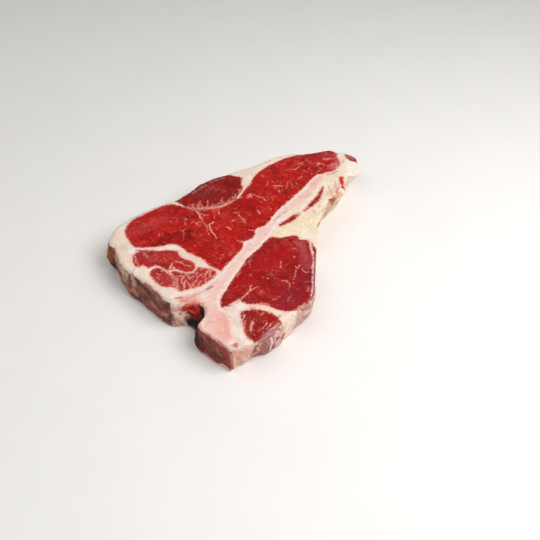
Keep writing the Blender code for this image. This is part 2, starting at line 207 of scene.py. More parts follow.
def chain_distance(points: np.ndarray, knots: tuple, reach: float) -> np.ndarray:
    """Distance from each point to a chain of straight runs.

    Args:
        points: places in mm, (n, 3).
        knots: the chain's places, mm; two numbers mean the upper cut face.
        reach: the largest distance that matters, mm.

    Returns:
        Distances in mm, at most the reach, (n,).
    """
    chain = np.array([knot if len(knot) == 3 else (*knot, THICKNESS) for knot in knots], float)
    away = np.full(len(points), reach)
    near = np.all((points > chain.min(axis=0) - reach) & (points < chain.max(axis=0) + reach), axis=1)
    spot = points[near]
    best = np.minimum(np.linalg.norm(spot - chain[0], axis=1), reach)
    for start, end in zip(chain[:-1], chain[1:]):
        run = end - start
        share = np.clip((spot - start) @ run / max(run @ run, 1e-9), 0, 1)
        best = np.minimum(best, np.linalg.norm(spot - start - share[:, None] * run, axis=1))
    away[near] = best
    return away


# ---------------------------------------------------------------- marks and veins
@dataclass(frozen=True)
class Mark:
    """A place on the surface that differs from what is round it.

    Attributes:
        knots: chain of places, mm.
        width: half-width of the marked band, mm.
        colour: its sRGB hex code, for a painted mark.
        cover: how much it hides what is under it.
        soft: distance over which it fades out, mm.
        rise: how far it stands out of the surface, mm.
        rough: height of the rough grain that it adds, mm.
        top: the height above which it doesn't reach, mm.
        layer: what it adds besides relief.
        tissues: what it shows on.
    """

    knots: tuple
    width: float
    colour: str = "#ffffff"
    cover: float = 0.8
    soft: float = 1.0
    rise: float = 0.0
    rough: float = 0.0
    top: float = 99.0
    layer: Layer = Layer.PAINT
    tissues: tuple = tuple(Tissue)

    def mask(self, points: np.ndarray) -> np.ndarray:
        """How strongly the mark holds at each point, with a ragged edge.

        Args:
            points: places, mm, (n, 3).

        Returns:
            Numbers from 0 to 1, (n,).
        """
        reach = self.width + self.soft + 2.0
        away = chain_distance(points, self.knots, reach)
        near = away < reach
        held = np.zeros(len(points))
        spot = points[near]
        ragged = 0.35 * self.soft + 0.12 * self.width
        edge = away[near] + ragged * waves(spot, 1.2 + 0.4 * self.width, 41)
        held[near] = ease(edge, self.width + 0.5 * self.soft, self.width - 0.5 * self.soft)
        held[near] *= ease(spot[:, 2] + 1.2 * waves(spot, 5.0, 42), self.top + 0.8, self.top - 2.4)
        return held


def painted(tissue: Tissue, *rows: tuple) -> tuple[Mark, ...]:
    """Marks on one tissue alone, from rows of knots, width, colour, cover and soft."""
    return tuple(Mark(*row, tissues=(tissue,)) for row in rows)


@dataclass(frozen=True)
class Vein:
    """A winding thread of fat in a muscle: its chain of places and its half-width, mm."""

    knots: tuple
    width: float

    def depth(self, points: np.ndarray) -> np.ndarray:
        """How deep each point lies inside the thread, mm, negative outside it."""
        return self.width - chain_distance(points, self.knots, self.width + 3.0)


def threads_of(width: float, *chains: tuple) -> tuple[Vein, ...]:
    """Threads of one width, from their chains of places."""
    return tuple(Vein(chain, width) for chain in chains)


# ---------------------------------------------------------------- node trees
@dataclass
class Weave:
    """A material while its nodes are put together.

    Attributes:
        name: the material's name.
        material: the material.
        shader: its Principled shader.
        place: Object coordinates, mm.
    """

    name: str
    material: bpy.types.Material = None
    shader: bpy.types.Node = None
    place: bpy.types.NodeSocket = None

    def __post_init__(self) -> None:
        """Starts the material with its shader and its coordinates."""
        self.material = bpy.data.materials.new(self.name)
        self.material.use_nodes = True
        self.material.node_tree.nodes.clear()
        surface = self.add("BsdfPrincipled")
        self.shader = surface.node
        self.add("OutputMaterial", {"Surface": surface}, None)
        self.place = self.add("VectorMath", {0: self.add("TexCoord", out="Object"), "Scale": 1 / MM},
                              operation="SCALE")

    def add(self, kind: str, links: dict | None = None, out: int | str | None = 0,
            **settings) -> bpy.types.NodeSocket | None:
        """Adds a node with its settings and links.

        Args:
            kind: the node's type, without the ShaderNode before it.
            links: socket name or number to a value, or to the socket that drives it.
            out: which output to hand back.
            **settings: the node's own settings.

        Returns:
            That output.
        """
        made = self.material.node_tree.nodes.new("ShaderNode" + kind)
        for name, value in settings.items():
            setattr(made, name, value)
        for name, value in (links or {}).items():
            if isinstance(value, bpy.types.NodeSocket):
                self.material.node_tree.links.new(value, made.inputs[name])
            else:
                made.inputs[name].default_value = value
        return None if out is None else made.outputs[out]

    def blotches(self, size: float, low: float, high: float, seed: float = 0.0, start: float = 0.0,
                 end: float = 1.0) -> bpy.types.NodeSocket:
        """Cloudy patches.

        Args:
            size: how large they are, mm.
            low: level of the cloud below which they are at the start value.
            high: level above which they are at the end value.
            seed: shift that gives another pattern.
            start: value of the gaps.
            end: value of the patches.

        Returns:
            The patches' value.
        """
        spot = self.add("VectorMath", {0: self.place, 1: (seed, 1.7 * seed, 0.3 * seed)}, operation="ADD")
        cloud = self.add("TexNoise", {"Vector": spot, "Scale": 1 / size, "Detail": 3.0, "Roughness": 0.55})
        return self.add("MapRange", {"Value": cloud, "From Min": low, "From Max": high, "To Min": start,
                                     "To Max": end}, **SMOOTH)

    def strokes(self, turn: float, length: float, width: float, low: float, high: float,
                seed: float = 0.0) -> bpy.types.NodeSocket:
        """Short tapered strokes that lie roughly one way.

        Args:
            turn: their direction in plan, degrees.
            length: how many times longer than wide they are.
            width: how far apart they are across, mm.
            low: level of the stretched cloud below which there is none.
            high: level above which a stroke is full.
            seed: shift that gives another pattern.

        Returns:
            1 in the strokes and 0 between them.
        """
        stray = self.add("TexNoise", {"Vector": self.place, "Scale": 1 / 12, "Detail": 1.0}, "Color")
        bent = self.add("VectorMath", {0: stray, 1: (9.0, 9.0, 9.0), 2: self.place}, operation="MULTIPLY_ADD")
        spot = self.add("VectorMath", {0: bent, 1: (seed, 0.6 * seed, seed)}, operation="ADD")
        along = self.add("Mapping", {"Vector": spot, "Rotation": (0.0, 0.0, math.radians(turn)),
                                     "Scale": (length, 1.0, 1.0)}, vector_type="TEXTURE")
        cloud = self.add("TexNoise", {"Vector": along, "Scale": 1 / width, "Detail": 2.0, "Roughness": 0.5})
        return self.add("MapRange", {"Value": cloud, "From Min": low, "From Max": high}, **SMOOTH)

    def threads(self, size: float, width: float, wander: float, seed: float = 0.0) -> bpy.types.NodeSocket:
        """Thin winding lines, where a cloud crosses its middle level.

        Args:
            size: how far apart the lines are, mm.
            width: half-width of a line, as a step of the cloud's level.
            wander: how far the lines stray, mm.
            seed: shift that gives another pattern.

        Returns:
            1 in the lines and 0 between them.
        """
        stray = self.add("TexNoise", {"Vector": self.place, "Scale": 0.6 / size, "Detail": 2.0}, "Color")
        bent = self.add("VectorMath", {0: stray, 1: (wander, wander, wander), 2: self.place},
                        operation="MULTIPLY_ADD")
        spot = self.add("VectorMath", {0: bent, 1: (seed, 0.6 * seed, seed)}, operation="ADD")
        cloud = self.add("TexNoise", {"Vector": spot, "Scale": 1 / size, "Detail": 2.0, "Roughness": 0.5})
        middle = self.add("Math", {0: cloud, 1: 0.5}, operation="SUBTRACT")
        away = self.add("Math", {0: middle}, operation="ABSOLUTE")
        return self.add("MapRange", {"Value": away, "From Min": width, "From Max": 0.3 * width}, **SMOOTH)

    def frayed(self, distance: str, reach: bpy.types.NodeSocket, start: float, full: float,
               most: float = 1.0) -> bpy.types.NodeSocket:
        """A band of uneven width along a border.

        Args:
            distance: the mesh's layer that gives the distance from the border, mm.
            reach: how far the band reaches from the border, mm.
            start: by how much that has to exceed the distance for the band to begin, mm.
            full: by how much for it to be full, mm.
            most: its value where it is full.

        Returns:
            The band's value, 0 outside it.
        """
        inside = self.add("Math", {0: reach, 1: self.add("Attribute", out="Fac", attribute_name=distance)},
                          operation="SUBTRACT")
        return self.add("MapRange", {"Value": inside, "From Min": start, "From Max": full, "To Max": most},
                        **SMOOTH)

    def coats(self, under: bpy.types.NodeSocket | tuple, *coats: tuple) -> bpy.types.NodeSocket:
        """Lays coats of colour one over another.

        Args:
            under: the first colour, or the socket that gives it.
            *coats: for each coat its sRGB hex code, then the shares that multiply to say how far it
                covers, as sockets or numbers.

        Returns:
            The colour that shows.
        """
        for code, cover, *shares in coats:
            for share in shares:
                cover = self.add("Math", {0: cover, 1: share}, operation="MULTIPLY")
            under = self.add("Mix", {0: cover, 6: under, 7: rgba(code)}, 2, **BLEND)
        return under

    def marked(self, under: bpy.types.NodeSocket) -> bpy.types.NodeSocket:
        """Lays the rind and the painted marks over a colour.

        Args:
            under: the colour.

        Returns:
            The colour with dried rind in dark streaks along the rim, and the marks over that.
        """
        along = self.add("Mapping", {"Vector": self.place, "Rotation": (0.0, 0.0, RIND_TURN),
                                     "Scale": (4.5, 1.0, 1.4)}, vector_type="TEXTURE")
        grain = self.add("TexNoise", {"Vector": along, "Scale": 1 / 2.6, "Detail": 4.0, "Roughness": 0.6,
                                      "Distortion": 0.4})
        rind = self.add("ValToRGB", {"Fac": grain})
        ramp = rind.node.color_ramp
        while len(ramp.elements) < len(RIND_TONES):
            ramp.elements.new(0.5)
        for element, (level, code) in zip(ramp.elements, RIND_TONES):
            element.position = level
            element.color = rgba(code)
        share = self.add("Math", {0: self.add("Attribute", out="Fac", attribute_name="rind"),
                                  1: self.blotches(2.4, 0.2, 0.8, 3.0, -0.25, 0.25)}, operation="ADD")
        share = self.add("MapRange", {"Value": share, "From Min": 0.35, "From Max": 0.65}, **SMOOTH)
        colour = self.add("Mix", {0: share, 6: under, 7: rind}, 2, **BLEND)
        cover = self.add("Attribute", out="Alpha", attribute_name="paint")
        cleared = self.add("Mix", {0: cover, 6: colour, 7: (0.0, 0.0, 0.0, 1.0)}, 2, **BLEND)
        paint = self.add("VectorMath", {0: self.add("Attribute", out="Color", attribute_name="paint"),
                                        "Scale": self.blotches(1.5, 0.3, 0.7, 7.0, 0.78, 1.16)},
                         operation="SCALE")
        return self.add("Mix", {0: 1.0, 6: cleared, 7: paint}, 2, blend_type="ADD", **BLEND)

    def close(self, colour: bpy.types.NodeSocket, height: bpy.types.NodeSocket,
              roughness: bpy.types.NodeSocket, constants: dict) -> bpy.types.Material:
        """Joins colour, relief and gloss to the shader.

        Args:
            colour: the surface colour.
            height: fine relief, mm.
            roughness: how dull the surface is.
            constants: the shader's sockets that hold one value all over.

        Returns:
            The material.
        """
        bump = self.add("Bump", {"Height": height, "Distance": MM, "Strength": 1.0})
        for name, socket in {"Base Color": colour, "Roughness": roughness, "Normal": bump}.items():
            self.material.node_tree.links.new(socket, self.shader.inputs[name])
        for name, value in constants.items():
            self.shader.inputs[name].default_value = value
        return self.material


# ---------------------------------------------------------------- finishes
@dataclass(frozen=True)
class RawLean:
    """Raw beef muscle, cut across its fibres by a knife.

    The cut ends of the fibre bundles give it a fine pebbled grain, moist and glossy, with threads and
    flecks of pale marbling, and a red that runs from deep to bright in cloudy patches.

    Attributes:
        deep: its darkest red.
        mid: its usual red.
        bright: its brightest red.
        marbling: colour of its fat.
        bundle: size of the fibre bundles, mm.
        fleck: strength of the marbling, 0 to 1.
        streaks: strength of the pale lines between the bundles.
        membrane: colour of the skin on its outer side.
        shadow: colour of the darkest strokes of its grain.
        rim_fat: colour of the fat that clings to its outer side.
    """

    deep: str
    mid: str
    bright: str
    marbling: str = "#ec9a8c"
    bundle: float = 1.7
    fleck: float = 0.8
    streaks: float = 0.2
    membrane: str = "#b9888a"
    shadow: str = "#6e0404"
    rim_fat: str = "#e6c9b6"

    def fat_share(self, w: Weave) -> bpy.types.NodeSocket:
        """Where fat shows in the muscle.

        Args:
            w: the material.

        Returns:
            The share of fat, from flecks, veins, and feathery seams beside a neighbour.
        """
        density = w.add("Attribute", out="Fac", attribute_name="density")
        crowd = w.add("Math", {0: w.blotches(9.0, 0.0, 1.0, 23.0), 1: density}, operation="ADD")
        crowd = w.add("MapRange", {"Value": crowd, "From Min": 0.46, "From Max": 0.74,
                                   "To Min": 0.05 * self.fleck, "To Max": self.fleck}, **SMOOTH)
        flecks = w.add("Math", {0: w.strokes(-15.0, 3.4, 1.7, 0.60, 0.72, 31.0),
                                1: w.strokes(66.0, 3.4, 1.7, 0.61, 0.73, 17.0)}, operation="MAXIMUM")
        flecks = w.add("Math", {0: flecks, 1: crowd}, operation="MULTIPLY")
        vein = w.add("Math", {0: w.add("Attribute", out="Fac", attribute_name="vein"),
                              1: w.blotches(1.5, 0.25, 0.75, 3.0, -0.55, 0.40)}, operation="ADD")
        vein = w.add("MapRange", {"Value": vein, "From Min": -0.50, "From Max": 0.48, "To Max": 0.88},
                     **SMOOTH)
        feather = w.frayed("edge", w.blotches(1.7, 0.36, 0.80, 13.0, 0.0, 2.2), -0.25, 0.75, 0.72)
        fat = w.add("Math", {0: flecks, 1: vein}, operation="MAXIMUM")
        return w.add("Math", {0: fat, 1: feather}, operation="MAXIMUM")

    def make(self, name: str) -> bpy.types.Material:
        """Makes the material.

        Args:
            name: the material's name.

        Returns:
            The material.
        """
        w = Weave(name)
        tone = w.coats(
            rgba(self.deep),
            (self.mid, w.blotches(15.0, 0.30, 0.56)),
            (self.bright, w.strokes(-15.0, 2.2, 3.6, 0.46, 0.78, 11.0), w.blotches(16.0, 0.42, 0.62, 47.0)),
            (self.bright, w.strokes(-15.0, 2.4, 1.1, 0.48, 0.75, 61.0), 0.30),
            (self.shadow, w.strokes(-15.0, 2.6, 2.4, 0.50, 0.78, 83.0), 0.60))
        cell = w.add("TexVoronoi", {"Vector": w.place, "Scale": 1 / self.bundle}, "Color")
        tint = w.add("MapRange", {"Value": w.add("SeparateColor", {0: cell}), "To Min": 0.96, "To Max": 1.04})
        tint = w.add("CombineColor", {0: tint, 1: tint, 2: tint})
        tone = w.add("Mix", {0: 1.0, 6: tone, 7: tint}, 2, blend_type="MULTIPLY", **BLEND)
        fat = self.fat_share(w)
        side = w.add("Attribute", out="Fac", attribute_name="side")
        clinging = w.frayed("edge", w.blotches(4.5, 0.30, 0.75, 67.0, 0.0, 9.0), -1.5, 1.5)
        colour = w.coats(
            tone,
            (self.marbling, w.threads(2.6, 0.030, 3.0, 53.0), w.blotches(8.0, 0.46, 0.66, 5.0), self.streaks),
            (self.marbling, fat),
            (self.membrane, side, w.blotches(5.0, 0.32, 0.62, 29.0, 0.15, 0.85)),
            (self.rim_fat, clinging, side, w.blotches(1.8, 0.30, 0.60, 73.0, 0.55, 0.95)))
        border = w.add("TexVoronoi", {"Vector": w.place, "Scale": 1 / self.bundle},
                       feature="DISTANCE_TO_EDGE")
        grain = w.add("MapRange", {"Value": border, "From Max": 0.35, "To Max": 0.07}, **SMOOTH)
        grain = w.add("Math", {0: grain, 1: w.blotches(0.9, 0.0, 1.0, 2.0, 0.0, 0.14)}, operation="ADD")
        height = w.add("Math", {0: fat, 1: 0.10, 2: grain}, operation="MULTIPLY_ADD")
        return w.close(w.marked(colour), height, w.blotches(3.0, 0.3, 0.7, 19.0, 0.30, 0.46),
                       {"IOR": 1.38, "Specular IOR Level": 0.20, "Subsurface Weight": 0.10,
                        "Subsurface Radius": (1.0, 0.18, 0.10), "Subsurface Scale": 1.2 * MM})


@dataclass(frozen=True)
class RawFat:
    """Raw beef fat, cut by a knife while cold, so firm and waxy.

    It is cream, softly lobed, blushed pink beside the meat, and a little translucent.

    Attributes:
        light: its palest cream.
        mid: its usual cream.
        warm: its yellowest cream.
        blush: colour where meat juice has soaked in.
        blush_reach: how far that goes from a muscle, mm.
        bleed: colour of the shreds of meat along a muscle.
        pores: colour of the pinholes between lobules.
        dried: patches on its outer side: colour, size in mm, cloud levels, seed and cover.
        lobule: size of its lobules, mm.
    """

    light: str = "#f1e4db"
    mid: str = "#ead2c4"
    warm: str = "#eed8bd"
    blush: str = "#eeb3a6"
    blush_reach: float = 2.6
    bleed: str = "#c2493f"
    pores: str = "#d8a58e"
    dried: tuple = (("#dcb796", 9.0, 0.42, 0.66, 27.0, 0.55), ("#b98a68", 2.8, 0.50, 0.72, 33.0, 0.60),
                    ("#cf8f80", 4.0, 0.54, 0.72, 39.0, 0.50))
    lobule: float = 4.2

    def make(self, name: str) -> bpy.types.Material:
        """Makes the material.

        Args:
            name: the material's name.

        Returns:
            The material.
        """
        w = Weave(name)
        border = w.add("TexVoronoi", {"Vector": w.place, "Scale": 1 / self.lobule},
                       feature="DISTANCE_TO_EDGE")
        line = w.add("MapRange", {"Value": border, "From Min": 0.09, "From Max": 0.0, "To Max": 0.35},
                     **SMOOTH)
        soaked = w.blotches(2.6, 0.2, 0.8, 9.0, -1.2, 1.2)
        bleed = w.blotches(1.4, 0.42, 0.80, 15.0, 0.2, 1.9)
        side = w.add("Attribute", out="Fac", attribute_name="side")
        tone = w.coats(
            rgba(self.mid),
            (self.light, w.blotches(11.0, 0.38, 0.64)),
            (self.warm, w.blotches(16.0, 0.48, 0.70, 37.0)),
            (self.blush, line, w.blotches(4.0, 0.42, 0.62, 5.0)),
            (self.blush, w.frayed("lean_mm", soaked, -self.blush_reach, 0.0, 0.8)),
            (self.bleed, w.frayed("lean_mm", bleed, 0.0, 0.9, 0.75)),
            (self.pores, w.blotches(1.7, 0.66, 0.78, 43.0, 0.0, 0.30)),
            *((code, side, w.blotches(size, low, high, seed, 0.0, share))
              for code, size, low, high, seed, share in self.dried))
        lumps = w.add("MapRange", {"Value": border, "From Max": 0.30, "To Max": 0.14}, **SMOOTH)
        height = w.add("Math", {0: lumps, 1: w.blotches(1.2, 0.0, 1.0, 2.0, 0.0, 0.22)}, operation="ADD")
        return w.close(w.marked(tone), height, w.blotches(4.0, 0.3, 0.7, 19.0, 0.38, 0.55),
                       {"IOR": 1.45, "Specular IOR Level": 0.30, "Subsurface Weight": 0.20,
                        "Subsurface Radius": (1.0, 0.55, 0.40), "Subsurface Scale": 1.6 * MM})


@dataclass(frozen=True)
class SawnBone:
    """Fresh bone cut by a band saw, which leaves it matt, smeared with fat and faintly scored.

    Its hard shell is the palest part, and the spongy middle is blushed and pitted by the red marrow.

    Attributes:
        shell: colour of the hard outside.
        sponge: colour of the spongy middle.
        marrow: colour in its pits.
        scores: colour that the saw has smeared into its scores.
        fringe: colour of the shreds of meat along a muscle.
        pore: spacing of the pits, mm.
    """

    shell: str = "#f2dfd4"
    sponge: str = "#ecc8bd"
    marrow: str = "#e3a79c"
    scores: str = "#e6aaa0"
    fringe: str = "#cc6a60"
    pore: float = 1.3

    def make(self, name: str) -> bpy.types.Material:
        """Makes the material.

        Args:
            name: the material's name.

        Returns:
            The material.
        """
        w = Weave(name)
        edge = w.add("Attribute", out="Fac", attribute_name="edge")
        deep = w.add("Math", {0: edge, 1: w.blotches(3.0, 0.2, 0.8, 9.0, -1.0, 1.0)}, operation="ADD")
        deep = w.add("MapRange", {"Value": deep, "From Min": 1.2, "From Max": 3.6}, **SMOOTH)
        pits = w.add("TexVoronoi", {"Vector": w.place, "Scale": 1 / self.pore})
        pits = w.add("MapRange", {"Value": pits, "From Min": 0.34, "From Max": 0.16, "To Max": 0.45},
                     **SMOOTH)
        for share in (w.blotches(7.0, 0.46, 0.66, 5.0), deep):
            pits = w.add("Math", {0: pits, 1: share}, operation="MULTIPLY")
        score = w.strokes(84.0, 7.0, 1.4, 0.44, 0.72, 71.0)
        fringe = w.frayed("lean_mm", w.blotches(1.5, 0.35, 0.80, 15.0, 0.3, 2.4), 0.0, 1.3, 0.75)
        tone = w.coats(rgba(self.shell), (self.sponge, deep), (self.shell, w.blotches(12.0, 0.50, 0.72)),
                       (self.marrow, pits), (self.scores, score, 0.55), (self.fringe, fringe))
        height = w.add("Math", {0: score, 1: 0.08}, operation="MULTIPLY")
        height = w.add("Math", {0: pits, 1: -0.35, 2: height}, operation="MULTIPLY_ADD")
        height = w.add("Math", {0: height, 1: w.blotches(1.0, 0.0, 1.0, 2.0, 0.0, 0.15)}, operation="ADD")
        return w.close(w.marked(tone), height, w.blotches(4.0, 0.3, 0.7, 19.0, 0.42, 0.60),
                       {"IOR": 1.50, "Specular IOR Level": 0.20, "Subsurface Weight": 0.12,
                        "Subsurface Radius": (1.0, 0.45, 0.32), "Subsurface Scale": 1.0 * MM})


# ---------------------------------------------------------------- fine meshes
def grid_cut(bm: bmesh.types.BMesh, faces: list, axis: int, step: float) -> None:
    """Cuts faces by evenly spaced planes, halving them again and again.

    Args:
        bm: the mesh.
        faces: faces to cut.
        axis: the planes' normal: 0, 1 or 2.
        step: spacing of the planes, metres.
    """
    if not faces:
        return
    normal = Vector((0, 0, 0))
    normal[axis] = 1
    heights = [vert.co[axis] for face in faces for vert in face.verts]
    stack = [(faces, math.floor(min(heights) / step) + 1, math.ceil(max(heights) / step) - 1)]
    while stack:
        part, low, high = stack.pop()
        if low > high or not part:
            continue
        middle = (low + high) // 2
        geometry = set(part)
        for face in part:
            geometry.update(face.edges)
            geometry.update(face.verts)
        cut = bmesh.ops.bisect_plane(bm, geom=list(geometry), dist=1e-7, plane_co=normal * (middle * step),
                                     plane_no=normal)
        halves = ([], [])
        for item in cut["geom"]:
            if isinstance(item, bmesh.types.BMFace):
                halves[item.calc_center_median()[axis] > middle * step].append(item)
        stack.append((halves[0], low, middle - 1))
        stack.append((halves[1], middle + 1, high))


@dataclass
class Neighbours:
    """The other solids of the steak, for asking how far away they are.

    Attributes:
        tissues: what each node is made of.
        trees: search trees made so far.
    """

    tissues: dict[str, Tissue]
    trees: dict = field(default_factory=dict)

    def tree(self, own: str, tissue: Tissue | None) -> BVHTree | None:
        """The surfaces of every other node of a tissue.

        Args:
            own: the node that asks.
            tissue: which tissue, or None for all.

        Returns:
            The search tree, or None where there is no such node.
        """
        if (own, tissue) not in self.trees:
            points, faces = [], []
            for name, kind in self.tissues.items():
                if name == own or (tissue is not None and kind is not tissue):
                    continue
                mesh = frame["nodes"][name].data
                start = len(points)
                points += [vert.co.copy() for vert in mesh.vertices]
                faces += [[start + i for i in polygon.vertices] for polygon in mesh.polygons]
            self.trees[own, tissue] = BVHTree.FromPolygons(points, faces) if faces else None
        return self.trees[own, tissue]

    def distance(self, own: str, tissue: Tissue | None, points: np.ndarray) -> np.ndarray:
        """Distance from each point to the nearest other node of a tissue.

        Args:
            own: the node that asks.
            tissue: which tissue, or None for all.
            points: places, metres.

        Returns:
            Distances, mm, at most FAR.
        """
        tree = self.tree(own, tissue)
        away = np.full(len(points), FAR)
        if tree is not None:
            for i, point in enumerate(points):
                found = tree.find_nearest(point, FAR * MM)[3]
                if found is not None:
                    away[i] = found / MM
        return away


@dataclass
class Skin:
    """The points of a fine mesh and what is known about each of them.

    Attributes:
        spots: places from the datum, mm.
        edge: distance to the nearest other piece, mm.
        lean: distance to the nearest other muscle, mm.
        touches: for each zone, which points lie on a face of it.
        outward: for each zone, unit normals of its faces at the points.
    """

    spots: np.ndarray
    edge: np.ndarray
    lean: np.ndarray
    touches: dict
    outward: dict

    @classmethod
    def of(cls, mesh: bpy.types.Mesh, zones: np.ndarray, node: str, near: Neighbours) -> "Skin":
        """Reads a fine mesh.

        Args:
            mesh: the mesh.
            zones: zone number of each face.
            node: its node's name.
            near: the other solids.

        Returns:
            Its skin.
        """
        count = len(mesh.vertices)
        flat = np.empty(count * 3)
        mesh.vertices.foreach_get("co", flat)
        places = flat.reshape(-1, 3)
        loops = np.empty(len(mesh.loops), np.int32)
        mesh.loops.foreach_get("vertex_index", loops)
        sizes = np.empty(len(mesh.polygons), np.int32)
        mesh.polygons.foreach_get("loop_total", sizes)
        facing = np.empty(len(mesh.polygons) * 3)
        mesh.polygons.foreach_get("normal", facing)
        owner = np.repeat(np.arange(len(sizes)), sizes)
        touches, outward = {}, {}
        for kind in Zone:
            chosen = zones[owner] == kind.value
            total = np.zeros((count, 3))
            np.add.at(total, loops[chosen], facing.reshape(-1, 3)[owner[chosen]])
            length = np.linalg.norm(total, axis=1)
            touches[kind] = length > 0
            outward[kind] = total / np.maximum(length, 1e-9)[:, None]
        shown = touches[Zone.CUT] | touches[Zone.UNDER] | touches[Zone.RIM]
        edge, lean = np.zeros(count), np.full(count, FAR)
        edge[shown] = np.maximum(near.distance(node, None, places[shown]) - PIECE_GAP, 0.0)
        lean[shown] = near.distance(node, Tissue.LEAN, places[shown])
        return cls(places / MM - DATUM, edge, lean, touches, outward)


@dataclass(frozen=True)
class Piece:
    """One piece of the steak: how it is cut up, lifted, roughened, marked and finished.

    Attributes:
        node: its solid in the frame.
        slot: the record's material slot; not used.
        tissue: what it is made of.
        finish: its finish.
        step: spacing of the grid, mm.
        dome: how far its cut face swells above its border, mm.
        lumps: (size, height) pairs of the lumps on its cut face, mm.
        rim_lumps: the same for its outer side.
        marks: its marks.
        veins: its veins.
        thickly: (x, y, radius) of the places where the marbling is thicker, mm.
    """

    node: str
    slot: str
    tissue: Tissue
    finish: RawLean | RawFat | SawnBone
    step: float
    dome: float
    lumps: tuple = ((9.0, 0.16), (3.6, 0.10))
    rim_lumps: tuple = ((8.0, 0.30), (2.6, 0.12))
    marks: tuple = ()
    veins: tuple = ()
    thickly: tuple = ()

    def zone_of(self, face: bmesh.types.BMFace, tree: BVHTree) -> Zone:
        """Where a face of the solid lies.

        Args:
            face: the face.
            tree: the other solids.

        Returns:
            Its zone.
        """
        centre, rise = face.calc_center_median(), face.normal.z
        if abs(rise) < WALL and tree.find_nearest(centre, TOUCH * MM)[0] is not None:
            return Zone.SEAM
        if rise > LEVEL and centre.z > TOP_FROM * MM:
            return Zone.CUT
        if rise < DOWN and centre.z < BASE_TO * MM:
            return Zone.UNDER
        return Zone.RIM

    def fine_mesh(self, near: Neighbours) -> tuple[bpy.types.Mesh, np.ndarray]:
        """Cuts the solid's faces into a fine grid and rounds its flats away.

        Args:
            near: the other solids.

        Returns:
            The mesh, and the zone number of each of its faces.
        """
        bm = bmesh.new()
        bm.from_mesh(frame["nodes"][self.node].data)
        bmesh.ops.remove_doubles(bm, verts=bm.verts[:], dist=1e-6)
        bmesh.ops.dissolve_limit(bm, angle_limit=COPLANAR, verts=bm.verts[:], edges=bm.edges[:])
        bm.normal_update()
        zone = bm.faces.layers.int.new("zone")
        tree = near.tree(self.node, None)
        for face in bm.faces:
            face[zone] = self.zone_of(face, tree).value
        side, below = {Zone.RIM.value}, {Zone.UNDER.value}
        rest = {kind.value for kind in Zone} - below
        for kinds, axis, share in ((side, 2, 1), (rest, 0, 1), (rest, 1, 1), (below, 0, 2), (below, 1, 2)):
            grid_cut(bm, [face for face in bm.faces if face[zone] in kinds], axis, share * self.step * MM)
        bmesh.ops.triangulate(bm, faces=[f for f in bm.faces if len(f.verts) > 4])
        rim, cut = [], []
        for vert in bm.verts:
            kinds = {face[zone] for face in vert.link_faces}
            if kinds == {Zone.CUT.value}:
                cut.append(vert)
            elif kinds <= {Zone.RIM.value, Zone.CUT.value}:
                rim.append(vert)
        for verts, passes, upright in ((rim, ROUNDING[self.tissue], False), (cut, FLAT_PASSES, True)):
            for _ in range(passes):
                bmesh.ops.smooth_vert(bm, verts=verts, factor=0.5, use_axis_x=not upright,
                                      use_axis_y=not upright, use_axis_z=upright)
        mesh = bpy.data.meshes.new(f"{self.node}_cut")
        zones = np.array([face[zone] for face in bm.faces])
        bm.faces.layers.int.remove(zone)
        bm.to_mesh(mesh)
        bm.free()
        return mesh, zones

    def relief(self, skin: Skin) -> np.ndarray:
        """Moves the fine mesh's points to the real surface.

        Args:
            skin: the points.

        Returns:
            Their new places, from the datum, mm.
        """
        spots, edge, touches = skin.spots, skin.edge, skin.touches
        moved = spots.copy()
        for size, height in WARP:
            moved[:, 0] += height * waves(spots * (1, 1, 0), size, 3)
            moved[:, 1] += height * waves(spots * (1, 1, 0), size, 4)
        moved += skin.outward[Zone.SEAM] * (SEAM_CLOSING, SEAM_CLOSING, 0)

        marked, rough = np.zeros(len(spots)), np.zeros(len(spots))
        for mark in self.marks:
            if mark.rise or mark.rough:
                held = mark.mask(spots)
                marked += mark.rise * held
                rough = np.maximum(rough, mark.rough * held)
        ragged = sum(share * waves(spots, size, seed) for size, seed, share in GRAIN)
        marked += rough * ragged * ease(spots[:, 2], THICKNESS, THICKNESS - FADE)
        swell = ease(edge, 0.0, SWELL)
        upper = marked + self.dome * swell - CREASE[0] * ease(edge, CREASE[1], 0.0)
        for number, (size, height) in enumerate(self.lumps):
            upper += height * (0.25 + 0.75 * swell) * waves(spots, size, 61 + number)
        for number, (size, height) in enumerate(self.rim_lumps):
            marked += height * waves(spots, size, 71 + number)

        cut, rim = touches[Zone.CUT], touches[Zone.RIM]
        under = touches[Zone.UNDER] & ~rim
        moved[cut, 2] += upper[cut]
        marked *= np.where(cut, 0.5, 1.0) * ease(spots[:, 2], 0.0, FADE)
        moved[rim] += (skin.outward[Zone.RIM] * (1, 1, RIM_LIFT) * marked[:, None])[rim]
        groove = UNDER_CREASE[0] * ease(edge, UNDER_CREASE[1], 0.0)
        moved[under, 2] += (groove + UNDER_WAVE[1] * (1 + waves(spots, UNDER_WAVE[0], 81)))[under]
        return moved

    def write_layers(self, mesh: bpy.types.Mesh, skin: Skin) -> None:
        """Writes what the finish reads from the mesh.

        Args:
            mesh: the fine mesh.
            skin: its points before the relief.
        """
        spots = skin.spots
        count = len(spots)
        paint, rind = np.zeros((count, 4)), np.zeros(count)
        for mark in self.marks:
            held = mark.cover * mark.mask(spots)
            if mark.layer is Layer.PAINT:
                paint += (np.array(rgba(mark.colour)) - paint) * held[:, None]
            elif mark.layer is Layer.RIND:
                rind = np.maximum(rind, held)
        mesh.color_attributes.new("paint", "FLOAT_COLOR", "POINT").data.foreach_set("color", paint.ravel())

